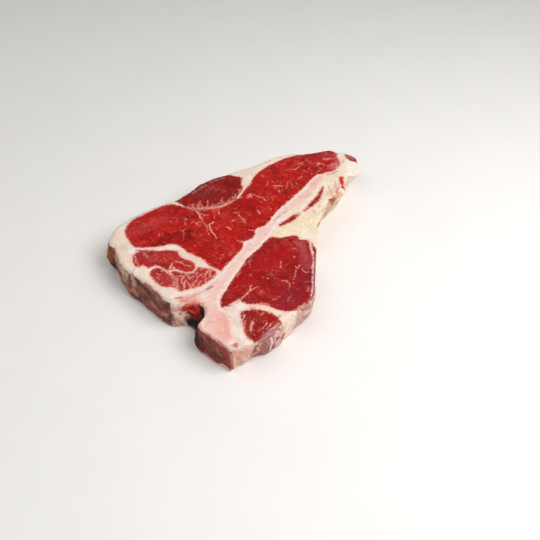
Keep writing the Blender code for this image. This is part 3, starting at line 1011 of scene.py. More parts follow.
        # the lower cut face shows the same threads, a little shifted
        lower = spots[:, 2] < THICKNESS / 2
        through = np.where(lower[:, None], spots * (1, 1, -1) + (*VEIN_SHIFT, THICKNESS), spots)
        for size, reach in VEIN_STRAY:
            through[:, 0] += reach * waves(spots, size, 91)
            through[:, 1] += reach * waves(spots, size, 92)
        vein = np.full(count, -4.0)
        for thread in self.veins:
            vein = np.maximum(vein, thread.depth(through))
        density = np.zeros(count)
        for x, y, radius in self.thickly:
            away = np.hypot(spots[:, 0] - x, spots[:, 1] - y)
            density = np.maximum(density, 0.22 * ease(away, radius, 0.3 * radius))
        side = np.where(skin.touches[Zone.RIM], 1 - np.abs(skin.outward[Zone.RIM][:, 2]), 0.0)
        values = {"rind": rind, "edge": skin.edge, "lean_mm": skin.lean, "vein": vein, "density": density,
                  "side": ease(side, 0.3, 0.8)}
        for name, numbers in values.items():
            mesh.attributes.new(name, "FLOAT", "POINT").data.foreach_set("value", numbers)

    def build(self, near: Neighbours) -> bpy.types.Object:
        """Makes the piece and gives it to the frame.

        Args:
            near: the other solids.

        Returns:
            The finished object.
        """
        mesh, zones = self.fine_mesh(near)
        skin = Skin.of(mesh, zones, self.node, near)
        mesh.vertices.foreach_set("co", ((self.relief(skin) + DATUM) * MM).ravel())
        self.write_layers(mesh, skin)
        mesh.shade_smooth()
        mesh.set_sharp_from_angle(angle=SHARP)
        mesh.update()
        mesh.materials.append(self.finish.make(f"{self.node}_{type(self.finish).__name__}"))
        piece = bpy.data.objects.new(f"{self.node}_cut", mesh)
        bpy.context.scene.collection.objects.link(piece)
        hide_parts(self.node)
        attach(piece, "root")
        LOG.info("%s: %d faces, %d marks, %d veins", piece.name, len(mesh.polygons), len(self.marks),
                 len(self.veins))
        return piece


# ---------------------------------------------------------------- what belongs to one place
@dataclass(frozen=True)
class Rind:
    """The dried, trimmed outer side of the back fat, from the left lobe to the nub at the spine.

    Attributes:
        middle: its line half-way up the side, mm.
        half: half its height, mm.
        grain: height of its rough grain, mm.
    """

    middle: tuple = ((-97, -34, 12), (-90, -35, 12), (-84, -40, 12), (-77, -44, 12), (-69, -48, 12),
                     (-61, -50, 12), (-53, -52, 12), (-45, -54, 12), (-36, -56, 12), (-28, -58, 12),
                     (-19, -59, 12))
    half: float = 13.5
    grain: float = 0.55

    def marks(self) -> tuple[Mark, ...]:
        """The rind, the dark lobe with painted shade on its lower part, the crease and the bands that run up
        and along it.

        Returns:
            Its marks, in the order in which they are painted.
        """
        return (
            Mark(self.middle, self.half, cover=1.0, soft=3.0, rough=self.grain, top=25.0, layer=Layer.RIND,
                 tissues=(Tissue.FAT,)),
            Mark(((-98, -33, 14), (-90, -35, 14)), 9.0, "#9a5830", 0.9, 5.0, top=24.0),
            # painted shade: the lobe's lower part darkened near the floor, under its bulge
            Mark(((-98, -34, 5), (-89, -36, 4)), 7.0, "#42170b", 0.9, 6.0),
            Mark(((-85, -37, 21), (-79, -42, 20), (-73, -46, 21), (-66, -48, 21)), 3.0, "#dfc4ab", 0.75, 4.0),
            Mark(((-81, -41, 8), (-73, -46, 7)), 3.0, "#b98a6c", 0.65, 4.0),
            Mark(((-88, -34, 24), (-84, -38, 21), (-80, -42, 17)), 0.8, "#5a2c18", 0.8, 1.5, rise=-0.7),
            Mark(((-79, -42, 22), (-76, -45, 18.6)), 1.8, "#bb6a5a", 0.7, 2.0, rise=0.3),
            Mark(((-69, -48, 17), (-67, -49, 7)), 2.4, "#a5775a", 0.7, 2.5),
            Mark(((-63.5, -49, 22), (-62, -50, 15)), 1.4, "#6a231c", 0.8),
            Mark(((-62, -47, 26), (-59.5, -50, 22), (-59, -51, 17)), 2.0, "#dcbfa8", 0.7, 3.0),
            Mark(((-60, -50.5, 15), (-56, -51, 7)), 1.2, "#c9a184", 0.6, 3.0),
            Mark(((-72, -46, 17), (-66, -49, 14), (-61, -50, 12)), 1.0, "#d3b193", 0.55, 2.5),
            Mark(((-47, -53, 9), (-41, -55, 8), (-33, -57, 9)), 0.8, "#b98a68", 0.5, 2.0),
            Mark(((-53, -50.5, 22), (-46, -53, 20), (-40, -55, 16), (-32, -57, 15)), 2.6, "#4a1d14", 0.7,
                 2.5),
            Mark(((-53, -51.5, 16), (-47, -53, 14)), 1.0, "#86695c", 0.6),
            Mark(((-29, -57, 21), (-22, -58, 22)), 1.1, "#86695c", 0.6),
            Mark(((-46, -52.5, 25), (-35, -55, 25), (-27, -57, 25)), 1.2, "#a8453a", 0.8),
            Mark(((-39.5, -54, 24),), 1.0, "#cf7f74", 0.8),
            Mark(((-50, -53, 7), (-38, -56, 6), (-28, -58, 3), (-21, -59, 2)), 2.6, "#8a4038", 0.7, 2.0),
            Mark(((-19, -59, 16), (-18, -59, 9)), 1.0, "#b98d74", 0.8),
            Mark(((-17, -58.5, 9), (-17, -58.5, 4)), 1.2, "#7a1c14", 0.9),
        )


@dataclass(frozen=True)
class SpineNotch:
    """The bloody hollow of the spinal canal, between a cream nub of bone and the sawn end.

    Attributes:
        blood: colour of the wet blood along its crest.
        clot_and_shade: colour of the clotted blood down in it, darkened to near black as painted shade in the
            hollow.
    """

    blood: str = "#c81a0e"
    clot_and_shade: str = "#240302"

    def marks(self) -> tuple[Mark, ...]:
        """The blood with painted highlights, painted shade down in the hollow, the nub with painted light and
        its spots, and the pink halo on the cut face.

        Returns:
            Its marks, in the order in which they are painted.
        """
        return (
            Mark(((-12, -52.5), (-8, -49), (-3, -46.5), (3, -47)), 2.6, "#ea9c8c", 0.45, 5.0),
            Mark(((-11, -53.5), (-7, -50.5), (-3, -48.4), (2, -48)), 1.0, "#d65f4e", 0.70, 3.0),
            # painted light: the nub's cream is lightened towards white on its shaded side
            Mark(((-14.5, -58, 14), (-11, -55.5, 12)), 5.2, "#ffd8c2", 0.95, 3.5, rough=0.5, top=24.5),
            Mark(((-16, -58, 20), (-12, -56.5, 21)), 1.8, "#e08a74", 0.65, 2.5),
            Mark(((-15, -58, 10), (-13, -57, 4)), 1.6, "#c98468", 0.6, 2.5),
            Mark(((-20, -59, 21), (-18.6, -59, 14), (-18, -58.5, 8), (-17, -58, 2)), 1.9, "#6e3024", 0.85,
                 2.5, rough=0.6, top=24.0),
            Mark(((-22, -58.5, 11), (-21, -58.5, 6), (-19.5, -58.5, 1)), 1.3, "#7a4632", 0.85, 2.0),
            Mark(((-23, -58.5, 20), (-22, -58.5, 12), (-21, -58.5, 3)), 3.4, cover=1.0, soft=2.0, top=25.0,
                 layer=Layer.RIND, tissues=(Tissue.BONE,)),
            # painted shade: the dark red and the near-black clot down in the hollow and on the bone's side
            # beside it are blood darkened to stand in for the shade in the canal
            Mark(((1.5, -50, 13), (5, -51, 13), (8, -57, 12), (11, -65, 8)), 10.0, "#7c120a", 1.0, 3.0,
                 rough=0.9, top=25.6),
            Mark(((-8, -53.5, 21.5), (-6, -51.5, 20), (-3, -50, 19), (1, -49, 20)), 3.8, self.blood, 0.95,
                 3.0, top=26.6),
            Mark(((-5, -53, 6), (0, -52, 5), (4, -52, 8), (8, -57, 8), (11, -66, 8)), 5.5, self.clot_and_shade, 1.0,
                 4.0),
            Mark(((2, -49, 21), (5, -51, 19), (8, -56, 17), (10, -62, 14), (11, -66, 14)), 3.0, self.clot_and_shade,
                 0.95, 3.0, top=24.6),
            # painted highlights: the next two marks are pale salmon and orange lines on the wet blood below
            # the crest
            Mark(((-8, -53.4, 17), (-5, -51, 15.6), (-2.5, -50, 15)), 0.9, "#e8694c", 0.8, 1.8),
            Mark(((-8.6, -53.8, 22.6), (-6, -51.4, 23), (-3, -50, 22.4)), 0.7, "#f28a76", 0.8, 1.5),
            Mark(((-2, -49.6, 22), (1, -48.8, 19)), 1.2, "#e2402c", 0.7, 2.0),
            Mark(((-9, -54.5, 10), (-6, -52, 12), (-4, -51.4, 10)), 1.0, "#a8261a", 0.75, 2.0),
            Mark(((-7, -52, 19.4), (-4, -50.6, 18.6)), 0.7, "#6a0d08", 0.75, 1.5),
            Mark(((-12, -56.5, 15.6),), 0.9, "#6a2c20", 0.9, 1.4),
            Mark(((-12, -56.5, 15.6),), 0.3, "#d09a88", 0.6, 0.8),
            Mark(((-12, -55.5, 3),), 1.2, "#7a3a2a", 0.7, 1.6),
            Mark(((-17, -53.5), (-13.5, -51.2)), 0.7, "#a2474a", 0.8, 1.2, rise=-0.3),
            Mark(((-25.5, -53),), 0.6, "#8a4038", 0.8),
        )


@dataclass(frozen=True)
class SawnEnd:
    """The end of the bone where the saw left the spine, smeared dark with blood and bone dust.

    Attributes:
        stain: colour of the smear.
        half: half the height of the stained face, mm.
    """

    stain: str = "#8a3d2e"
    half: float = 11.0

    def marks(self) -> tuple[Mark, ...]:
        """The stain, with a pale border round it and streaks across it.

        Returns:
            Its marks, in the order in which they are painted.
        """
        bone = (Tissue.BONE,)
        face = ((18, -69.5, 13), (28, -71, 13), (38, -72, 13))
        return (
            Mark(face, self.half, cover=1.0, soft=3.0, rough=0.35, top=25.2, layer=Layer.RIND, tissues=bone),
            Mark(face, self.half, self.stain, 0.60, 3.0, top=25.2, tissues=bone),
            *painted(
                Tissue.BONE,
                (((17, -68.5, 22), (28, -69.5, 22.5), (38, -71.5, 22.5)), 2.2, "#b8432f", 0.6, 3.5),
                (((15, -69, 16), (21, -70, 14), (27, -71, 13)), 3.0, "#55180e", 0.50, 5.0),
                (((22, -70, 7), (30, -71.5, 9), (37, -72.5, 11)), 3.2, "#651d13", 0.7, 5.0),
                (((37, -72, 20), (38.5, -72.5, 12), (39, -72.5, 5)), 3.0, "#9c3024", 0.75, 4.0),
                (((41.5, -72, 20), (42, -72, 12), (42, -71, 5)), 0.8, "#eaa893", 0.6, 2.0)),
            Mark(((12, -67.5, 3), (20, -70, 2), (30, -71.5, 0)), 1.6, "#e08a7c", 0.8, 2.0),
            Mark(((13, -68, 6), (21, -70, 5), (32, -71.5, 3.6)), 0.7, "#8f150e", 0.85, 1.4),
            Mark(((17, -68.5, 20), (20, -69.5, 17)), 1.0, "#b59a86", 0.5, 2.0),
            Mark(((29, -71, 17), (33, -71.5, 13)), 1.0, "#b08a76", 0.5, 2.0),
        )


@dataclass(frozen=True)
class BoneBlush:
    """What the marrow and the vessels leave on the cut face of the bone.

    Attributes:
        marrow: colour of the marrow's blush.
        vessel: colour of the cut vessels.
    """

    marrow: str = "#f0a596"
    vessel: str = "#8e5a66"

    def marks(self) -> tuple[Mark, ...]:
        """The blush of the head and stem, the vessels, and the lines on the left wing.

        Returns:
            Its marks, in the order in which they are painted.
        """
        bone = (Tissue.BONE,)
        dots = ((20, -44.5), (27, -49.5), (-6, -45), (-4, -39.5))
        return (
            *painted(
                Tissue.BONE,
                (((14, -50), (22, -60), (30, -66)), 5.0, self.marrow, 0.22, 6.0),
                (((22, -51), (28, -58), (33, -64)), 4.0, self.marrow, 0.50, 8.0),
                (((25, -53), (30, -58), (35.5, -64)), 2.0, "#ee9a8a", 0.45, 4.5),
                (((15, -60), (18, -58)), 1.4, "#d8a3a4", 0.4, 3.0),
                (((9, 78), (10, 96), (11, 112)), 2.4, self.marrow, 0.40, 4.0),
                (((7, 116), (11, 131)), 2.8, self.marrow, 0.50, 4.0),
                (((-2, 5), (-1, 25), (1, 45)), 2.0, "#f0bfb0", 0.35, 4.0),
                (((5.5, 94.5), (9, 98), (12, 104.5)), 0.7, "#c78c90", 0.7)),
            Mark(((11.5, 134), (14, 138), (17.5, 144)), 0.7, "#a87880", 0.7),
            Mark(((-11, -52.5), (-6.5, -44.5), (-3, -36), (0, -30.5)), 0.7, "#d98a88", 0.75, tissues=bone),
            Mark(((-3, -34.5), (-1, -30.5)), 0.9, "#a0403e", 0.6, 1.5),
            Mark(((-14, -50), (-9, -45), (-5, -38)), 1.6, "#e9a99e", 0.5, 3.0, tissues=bone),
            Mark(((13, 73), (15.5, 80), (17, 87)), 1.1, "#dccbc4", 0.8),
            Mark(((20.4, -40.5), (21.2, -39.3)), 0.5, "#96342a", 0.8),
            Mark(((24, -35), (24.6, -34.2)), 0.5, "#96342a", 0.8),
            Mark(((1.5, 58), (3, 64)), 0.5, self.vessel, 0.6),
            Mark(((4, 69), (5, 72)), 0.5, self.vessel, 0.6),
            Mark(((5.5, 76), (7, 84)), 0.4, self.vessel, 0.4),
            *(Mark((dot,), 0.45, "#6e1e18", 0.9) for dot in dots),
        )


@dataclass(frozen=True)
class ChineSide:
    """The trimmed side beside the tenderloin's head: fat, silverskin and shreds of lean.

    Attributes:
        shred: colour of the shreds of lean.
        skin: colour of the silverskin.
    """

    shred: str = "#b03226"
    skin: str = "#bda6ad"

    def marks(self) -> tuple[Mark, ...]:
        """The mottled fat, the shreds of lean down the side, and the silverskin over the small muscle.

        Returns:
            Its marks, in the order in which they are painted.
        """
        mottles = [(42.5 + 0.8 * turn, -70.5 + 0.9 * turn, 13 + 9 * math.sin(2.1 * turn))
                   for turn in range(12)]
        tones = itertools.cycle(("#fbdccb", "#cf6f58"))
        return (
            Mark(((43, -70, 14), (47, -66, 12), (50, -62, 10)), 9.0, "#f4ab92", 0.65, 5.0),
            *(Mark((mottle,), 1.0, tone, 0.6, 2.4) for mottle, tone in zip(mottles, tones)),
            Mark(((44, -70, 22), (48, -66, 20), (51, -62, 16)), 2.0, "#e59a82", 0.6, 3.0),
            Mark(((44, -69, 6), (47, -65, 5)), 1.6, "#c98468", 0.6, 2.5),
            Mark(((43.3, -67.5),), 1.9, "#c8402f", 0.8, 1.6, rise=-0.2),
            Mark(((43.3, -67.4),), 0.5, "#eea08c", 0.8, 0.9, rise=0.2),
            Mark(((40.6, -69.6), (42, -68.6)), 0.6, "#d9604e", 0.7, 1.4),
            Mark(((46.5, -70, 24), (47.5, -68, 18)), 1.0, "#d06a58", 0.6, 2.0),
            Mark(((49, -66, 24), (50, -64, 20)), 0.8, "#c9705c", 0.6, 1.8),
            Mark(((46, -68, 13),), 0.8, "#a8583f", 0.6, 1.4),
            Mark(((52.4, -57.6, 15), (50, -58.3, 8)), 1.7, "#8a4c3a", 0.8, 2.0),
            Mark(((53, -58, 20), (51, -57.5, 12)), 1.0, "#6a1c18", 0.8),
            Mark(((48.5, -65.7, 21), (49.2, -63, 14)), 1.8, "#e8a899", 0.7, 1.5),
            Mark(((48, -63.2, 9),), 1.2, "#f6e9e0", 0.8),
            Mark(((42.3, -69, 1.5),), 1.2, "#3a100b", 0.9),
            Mark(((56, -30), (56.6, -36), (57.7, -41.6)), 0.7, self.shred, 0.8),
            Mark(((60.3, -39, 24), (60.5, -37, 20)), 0.7, self.shred, 0.8),
            Mark(((61.4, -33.5, 13.5), (60.7, -34, 8)), 1.5, "#c0261a", 0.9),
            Mark(((61.5, -35), (62, -35)), 0.7, self.shred, 0.8),
            Mark(((56.3, -51.6, 22), (56.4, -50, 14), (54.6, -50.6, 8)), 1.6, "#a5716f", 0.7, 1.5),
            Mark(((54.5, -54, 21), (53, -54, 12)), 0.7, "#f0dcd6", 0.75),
            Mark(((59.5, -47, 24), (58.5, -48, 14), (57, -48, 5)), 1.0, "#8a3a3a", 0.7, 1.5),
            Mark(((58, -46, 20), (58.2, -44.2, 12), (56.6, -45, 4)), 0.9, "#efe4e0", 0.8),
            Mark(((59.1, -41.5, 19), (59.1, -41.4, 11)), 0.7, "#efe4e0", 0.7),
            Mark(((57, -50), (60, -45), (61, -38)), 1.8, self.skin, 0.5, 4.5),
            Mark(((56, -46), (58.5, -41), (59, -36)), 0.5, "#e0b4b0", 0.6, 1.6),
            Mark(((44, -69, 17), (46, -67, 8)), 1.4, "#d98068", 0.55, 2.5),
            Mark(((49, -64, 12), (50, -62, 4)), 1.2, "#c4654f", 0.5, 2.5),
            Mark(((36, -34), (41, -35.5)), 1.6, "#c4573c", 0.35, 2.5),
            Mark(((65, -17, 16), (64.5, -14, 7)), 4.5, "#cf9e86", 0.7, 4.0),
            Mark(((67, -12, 23), (68, -6, 18)), 1.6, "#b5654f", 0.6, 2.0),
            Mark(((65, -17, 26), (66.5, -12, 25.5)), 1.4, "#e9c4b4", 0.6, 2.0),
        )


@dataclass(frozen=True)
class TailEdge:
    """The ragged fat at the tail: blood in its folds, browned lumps and a clean pale lip.

    Attributes:
        blood: colour of the blood.
        brown: colour of the dried spots.
    """

    blood: str = "#bc190e"
    brown: str = "#a87452"

    def marks(self) -> tuple[Mark, ...]:
        """The tints, the blood, the lumps with a painted highlight on one, the spots, and the pale specks of
        the tail's lean.

        Returns:
            Its marks, in the order in which they are painted.
        """
        fat = (Tissue.FAT,)
        stains = (((17.5, 127), (19, 129)), ((22, 129), (23, 126.5)), ((24, 124), (25.5, 122)),
                  ((23, 117), (24.5, 114.5)), ((20, 121), (21.5, 118)), ((26.5, 113), (27.5, 110)),
                  ((19, 98), (21, 95)), ((24, 94), (26, 90)))
        specks = [(6.5 + 8 * math.sin(2.3 * turn), 155 + 12 * math.sin(1.7 * turn + 1)) for turn in range(22)]
        return (
            Mark(((22, 162), (29, 156), (31, 149)), 6.0, "#fdf6ea", 0.7, 6.0, tissues=fat),
            Mark(((13, 168), (15, 158), (14, 149)), 1.6, "#e6b2ac", 0.6, 4.0, tissues=fat),
            Mark(((34, 70, 10), (31, 85, 10), (30, 97, 10), (33, 110, 10)), 9.0, "#c98f68", 0.6, 6.0),
            Mark(((36, 62, 20), (34, 70, 23), (32, 78, 20), (29, 86, 12)), 1.3, "#96583a", 0.7, 2.0),
            Mark(((25, 111), (28, 118), (27, 127)), 3.0, "#eab184", 0.55, 5.0, tissues=fat),
            Mark(((24, 137.5), (26, 132.5), (29, 129.5), (32, 125)), 2.0, "#dc7048", 0.7, 3.0, rise=-0.4),
            Mark(((24.6, 136.5), (27, 131.5), (30.5, 128.5), (32.4, 124)), 1.8, self.blood, 0.95, 1.8,
                 rise=-0.5),
            Mark(((28.4, 130.4), (31.6, 128), (32.6, 124, 24)), 1.6, "#e23a22", 0.8, 1.8),
            Mark(((30, 129, 22), (33, 126, 19)), 2.6, self.blood, 0.9, 2.0),
            # painted highlight: a near-white glint on a raised lump of fat
            Mark(((31, 121.5), (33.4, 119.4)), 2.0, "#f6e4e6", 0.9, 2.0, rise=0.7),
            Mark(((28.6, 122), (29.5, 117), (32, 114.5)), 0.9, "#c24a48", 0.75, 1.8),
            Mark(((33, 114.5), (34.5, 119, 22)), 1.4, "#e09a9a", 0.6, 2.0),
            Mark(((30.5, 109), (33, 112), (34, 115)), 2.0, "#e08a58", 0.65, 3.5, rise=0.3),
            Mark(((30.5, 103.5, 25.5), (32.5, 106.5, 25), (34, 110.5, 24)), 2.2, "#ad420e", 0.95, 3.2,
                 rise=0.4),
            Mark(((32, 104.5, 22), (34, 108.5, 21)), 1.6, "#7a2c0e", 0.8, 2.6),
            Mark(((29.5, 92), (30.5, 88), (32.5, 82.5)), 0.9, "#bb6a50", 0.65, 2.4),
            Mark(((24, 85.5), (26, 82.5)), 0.7, "#b5604c", 0.6, 1.6),
            Mark(((35, 68), (38, 61.5)), 0.7, "#a8583f", 0.6, 1.6),
            Mark(((12.6, 134), (16.2, 138.8), (19, 138)), 0.45, "#a87f86", 0.6),
            *painted(
                Tissue.LEAN,
                (((11, 166), (9, 158), (12, 152), (10, 146)), 3.0, "#c47074", 0.55, 8.0),
                (((-6, 160), (2, 164)), 2.0, "#a2525c", 0.45, 7.0),
                *((((x, y), (x + 1.4 * math.sin(x), y + 1.6 * math.cos(y))), 0.5, "#e8b2ac", 0.8, 1.4)
                  for x, y in specks),
                (((14, 172), (21, 168)), 1.2, "#c79a9e", 0.7, 2.0),
                (((17, 168), (24, 165)), 1.4, "#a04a4c", 0.5, 3.0)),
            Mark(((25, 92, 18), (30, 100, 14), (31, 116, 12)), 5.0, cover=1.0, soft=3.0, rough=1.1,
                 layer=Layer.BARE),
            Mark(((27, 110), (30, 118), (29, 128)), 3.5, cover=1.0, soft=4.0, rough=1.2, layer=Layer.BARE),
            *(Mark(stain, 0.5, self.brown, 0.5, 1.6, rise=-0.25) for stain in stains),
        )


@dataclass(frozen=True)
class BroadTints:
    """Slow changes of colour over the cut face, and the lines along the seams.

    Attributes:
        warm: tint of the older, yellower fat.
        cool: tint of the darker, bluer lean.
    """

    warm: str = "#f1dcb6"
    cool: str = "#7e1c30"

    @staticmethod
    def beside(chain: tuple, x: float, y: float) -> tuple:
        """A chain of places moved sideways in plan, mm."""
        return tuple((knot[0] + x, knot[1] + y) for knot in chain)

    def marks(self) -> tuple[Mark, ...]:
        """The tints of the fat and of the lean, then the lines of lean and fat along the seams.

        Returns:
            Its marks, in the order in which they are painted.
        """
        return painted(
            Tissue.FAT,
            (((-60, 92), (-50, 115), (-42, 135)), 7.0, self.warm, 0.45, 9.0),
            (((16, 52), (27, 75), (36, 92)), 8.0, self.warm, 0.50, 8.0),
            (((-52, -45),), 4.0, self.warm, 0.5, 5.0),
            (((-85, -31),), 3.0, "#e0b59a", 0.5, 6.0),
        ) + painted(
            Tissue.LEAN,
            (((54, -18), (60, 4), (54, 26)), 9.0, self.cool, 0.45, 18.0),
            (((34, 42), (41, 36), (49, 24)), 3.0, "#b65a60", 0.50, 7.0),
            (((12, -20), (20, 4), (26, 30)), 7.0, "#b5100d", 0.40, 12.0),
            (((-62, -8), (-56, 2), (-48, 6)), 5.0, "#4f0609", 0.50, 10.0),
            (((-90, -16), (-84, -2), (-78, 12)), 5.0, "#c24a48", 0.40, 10.0),
            (((-72, 6), (-66, 20)), 5.0, "#b02f2e", 0.25, 10.0),
            (((-72, 51), (-67, 60)), 3.0, "#9c3440", 0.45, 8.0),
            (((-75.5, 53), (-74.5, 60), (-72.5, 68)), 0.6, "#cda29c", 0.45, 3.0),
            (((-72, 74), (-68.5, 80), (-65, 85)), 0.7, "#b98a90", 0.45, 3.0),
            (((-34, 50), (-28, 62)), 6.0, "#7a0706", 0.40, 14.0),
            (((-8, 96), (-2, 112)), 4.0, "#7d0a0b", 0.35, 12.0),
            (((-26, 2), (-16, 8)), 4.0, "#860706", 0.35, 12.0),
            (((-20, 20), (-14, 34)), 5.0, "#c01a10", 0.35, 12.0),
            (((-68, -28), (-56, -31)), 4.0, "#a03a44", 0.35, 7.0),
        ) + painted(
            Tissue.FAT,
            (((-33, -35.5), (-29.5, -38), (-26, -41), (-24.5, -45)), 1.3, "#a83a38", 0.75, 1.2),
            (((-46, -33.5), (-41, -34.5), (-36, -34.5)), 0.7, "#b5443f", 0.55, 1.0),
            (((-30, -29.5), (-25, -29), (-22.5, -26)), 0.6, "#c2534a", 0.4, 1.0),
            (CAP_SEAM, 1.6, "#dd9284", 0.6, 2.0),
            (self.beside(CAP_SEAM, 0.8, -0.8), 0.6, "#a3221c", 0.95, 1.5),
            (self.beside(CAP_SEAM, -0.9, 0.9), 0.4, "#8e201b", 0.8, 1.3),
            *(((knot,), 0.6, "#a8342c", 0.7, 1.8) for knot in CAP_SEAM[1::2]),
            (((-73.5, -27.2), (-67.4, -24.6), (-61, -20.8)), 0.8, "#a5302f", 0.9, 1.3),
        ) + painted(
            Tissue.LEAN,
            (((34, 53), (40.4, 47), (46.5, 38.5), (52.2, 29), (57.5, 19.5), (63, 7.5), (67.5, -3),
              (68.5, -10)), 0.8, "#f3dfd4", 0.75, 1.6),
        )


# ---------------------------------------------------------------- the steak's parts
@dataclass(frozen=True)
class LoinMuscles:
    """The long strip loin with its cap, the two strips beside it and the lean in the tail.

    Attributes:
        bundle: size of the loin's fibre bundles, mm.
        dome: how far the loin swells above its border, mm.
        step: grid, mm.
    """

    bundle: float = 1.8
    dome: float = 0.45
    step: float = 0.5

    def veins(self) -> tuple[Vein, ...]:
        """The loin's threads and flecks of marbling.

        Returns:
            Its thick threads, those of its tail, its thin threads and its flecks.
        """
        thick = threads_of(
            0.72, ((-61, 36), (-56, 33), (-49, 27)), ((-32, 71.5), (-29.5, 77.5)), ((-38, 68), (-37, 70)),
            ((-40.4, 30.6), (-41.4, 26), (-38.5, 22.5), (-31.6, 18.7), (-26.9, 16)),
            ((-20, 96.5), (-14.5, 99.5)), ((-28, 39), (-26.5, 40.5)), ((-31.5, 48.5), (-29, 50.5)))
        tail = threads_of(
            0.5, ((3, 155.5), (6.5, 160.5)), ((6, 165), (5.5, 170)), ((6.5, 146), (7.5, 150)),
            ((11, 149.5), (14, 147)), ((12.5, 153.5), (15, 150.5)), ((1, 147), (4, 144.5)),
            ((-2.5, 156), (0.5, 154)), ((11.5, 163), (10.5, 159)))
        thin = threads_of(
            0.46, ((-49, 27), (-43, 24), (-38.5, 19.5), (-34.4, 15.7)),
            ((-54.5, 34), (-51, 33), (-47.5, 36.5)), ((-61, 20), (-57.5, 16.5)),
            ((-54.5, 19.5), (-54, 23), (-50.5, 22), (-49.5, 25.5)),
            ((-55.9, 10.3), (-51, 4.8), (-48.2, -0.4)), ((-30.9, 50.7), (-25.4, 48), (-17.1, 44)),
            ((-28, 76.5), (-19.5, 77), (-16, 75)), ((-46, 45), (-41, 42)), ((-16, 61), (-12.5, 58.5)),
            ((-27, 31), (-22.5, 29.5)), ((-32, 78), (-33, 72)), ((-6, 39), (-10, 37)),
            ((-6, 22), (-11, 20)), ((-13, 108), (-10, 98)), ((-28, 98), (-26, 92)), ((-14, 93), (-12, 91)),
            ((-9, 107), (-4.5, 103)), ((-6.5, 110), (-3.5, 108.5)), ((-53, 29), (-50, 31)),
            ((-18.5, 134), (-15, 139.5)), ((-21, 125.5), (-15.5, 127), (-15.5, 134)),
            ((-44, 39), (-42.5, 35)), ((1.5, 154.5), (5, 158), (7, 164.5)), ((7.5, 152.5), (12.5, 143)))
        flecks = threads_of(
            0.62, ((-59.5, 5.5),), ((-22.5, 54),), ((-9.5, 42),), ((-19, 72),), ((-15, 116),),
            ((-19.5, 116),), ((-7.5, 118),), ((-8, 124.5),), ((-8.5, 129),), ((-5, 129.5),), ((-1, 128.5),),
            ((-10.5, 144.5),), ((-2, 155),), ((4.5, 142),), ((11, 154.5),), ((14, 149),))
        return thick + tail + thin + flecks

    def feathers(self) -> tuple[Vein, ...]:
        """The fat in the cap.

        Returns:
            The spikes that reach into it from the seam, and its own threads.
        """
        spikes = []
        for number, ((x, y), (ahead_x, ahead_y)) in enumerate(zip(CAP_SEAM[1:-1], CAP_SEAM[2:])):
            for part in (0.0, 0.5):
                phase = 3.7 * number + 5.2 * part
                turn = math.atan2(ahead_y - y, ahead_x - x) + math.pi / 2 + 0.6 * math.sin(1.4 * phase)
                reach = 3.4 + 1.8 * math.sin(phase)
                foot = (x + part * (ahead_x - x) - 0.6, y + part * (ahead_y - y) + 0.8)
                spikes.append((foot, (foot[0] + reach * math.cos(turn), foot[1] + reach * math.sin(turn))))
        return threads_of(0.42, *spikes) + threads_of(
            0.5, ((-60, 40), (-63.5, 43), (-64, 47)), ((-54.5, 45), (-58, 49), (-58.5, 51)),
            ((-47.5, 54.5), (-50, 57), (-51, 60)), ((-42, 67), (-44, 71)), ((-41.5, 72), (-43.5, 78.5)),
            ((-40.5, 80), (-43, 84)), ((-41.4, 75), (-45, 77)))

    def pieces(self) -> tuple[Piece, ...]:
        """The pieces of this part.

        Returns:
            The loin, the two strips, the cap and the tail's scrap, ready to build.
        """
        loin = RawLean("#8c0807", "#b2100c", "#d8382e", bundle=self.bundle, fleck=0.8)
        strip = RawLean("#7f1210", "#a01f1c", "#b83a35", bundle=1.4)
        cap = RawLean("#740b0a", "#901714", "#b0302a", "#ea8f83", fleck=0.5, membrane="#c59a92",
                      shadow="#4e0606")
        tail = RawLean("#84201c", "#a2342e", "#b8493f", bundle=1.4, fleck=0.9)
        return (
            Piece("strip_loin", "loin_muscle", Tissue.LEAN, loin, self.step, self.dome, veins=self.veins(),
                  thickly=((2, 145, 40), (-20, 92, 22), (-42, 28, 22))),
            Piece("side_strip_lower", "loin_muscle", Tissue.LEAN, strip, self.step, 0.2),
            Piece("side_strip_upper", "loin_muscle", Tissue.LEAN, strip, self.step, 0.2),
            Piece("cap_muscle", "dark_muscle", Tissue.LEAN, cap, self.step, 0.35, veins=self.feathers()),
            Piece("tail_muscle", "dark_muscle", Tissue.LEAN, tail, self.step, 0.2),
        )


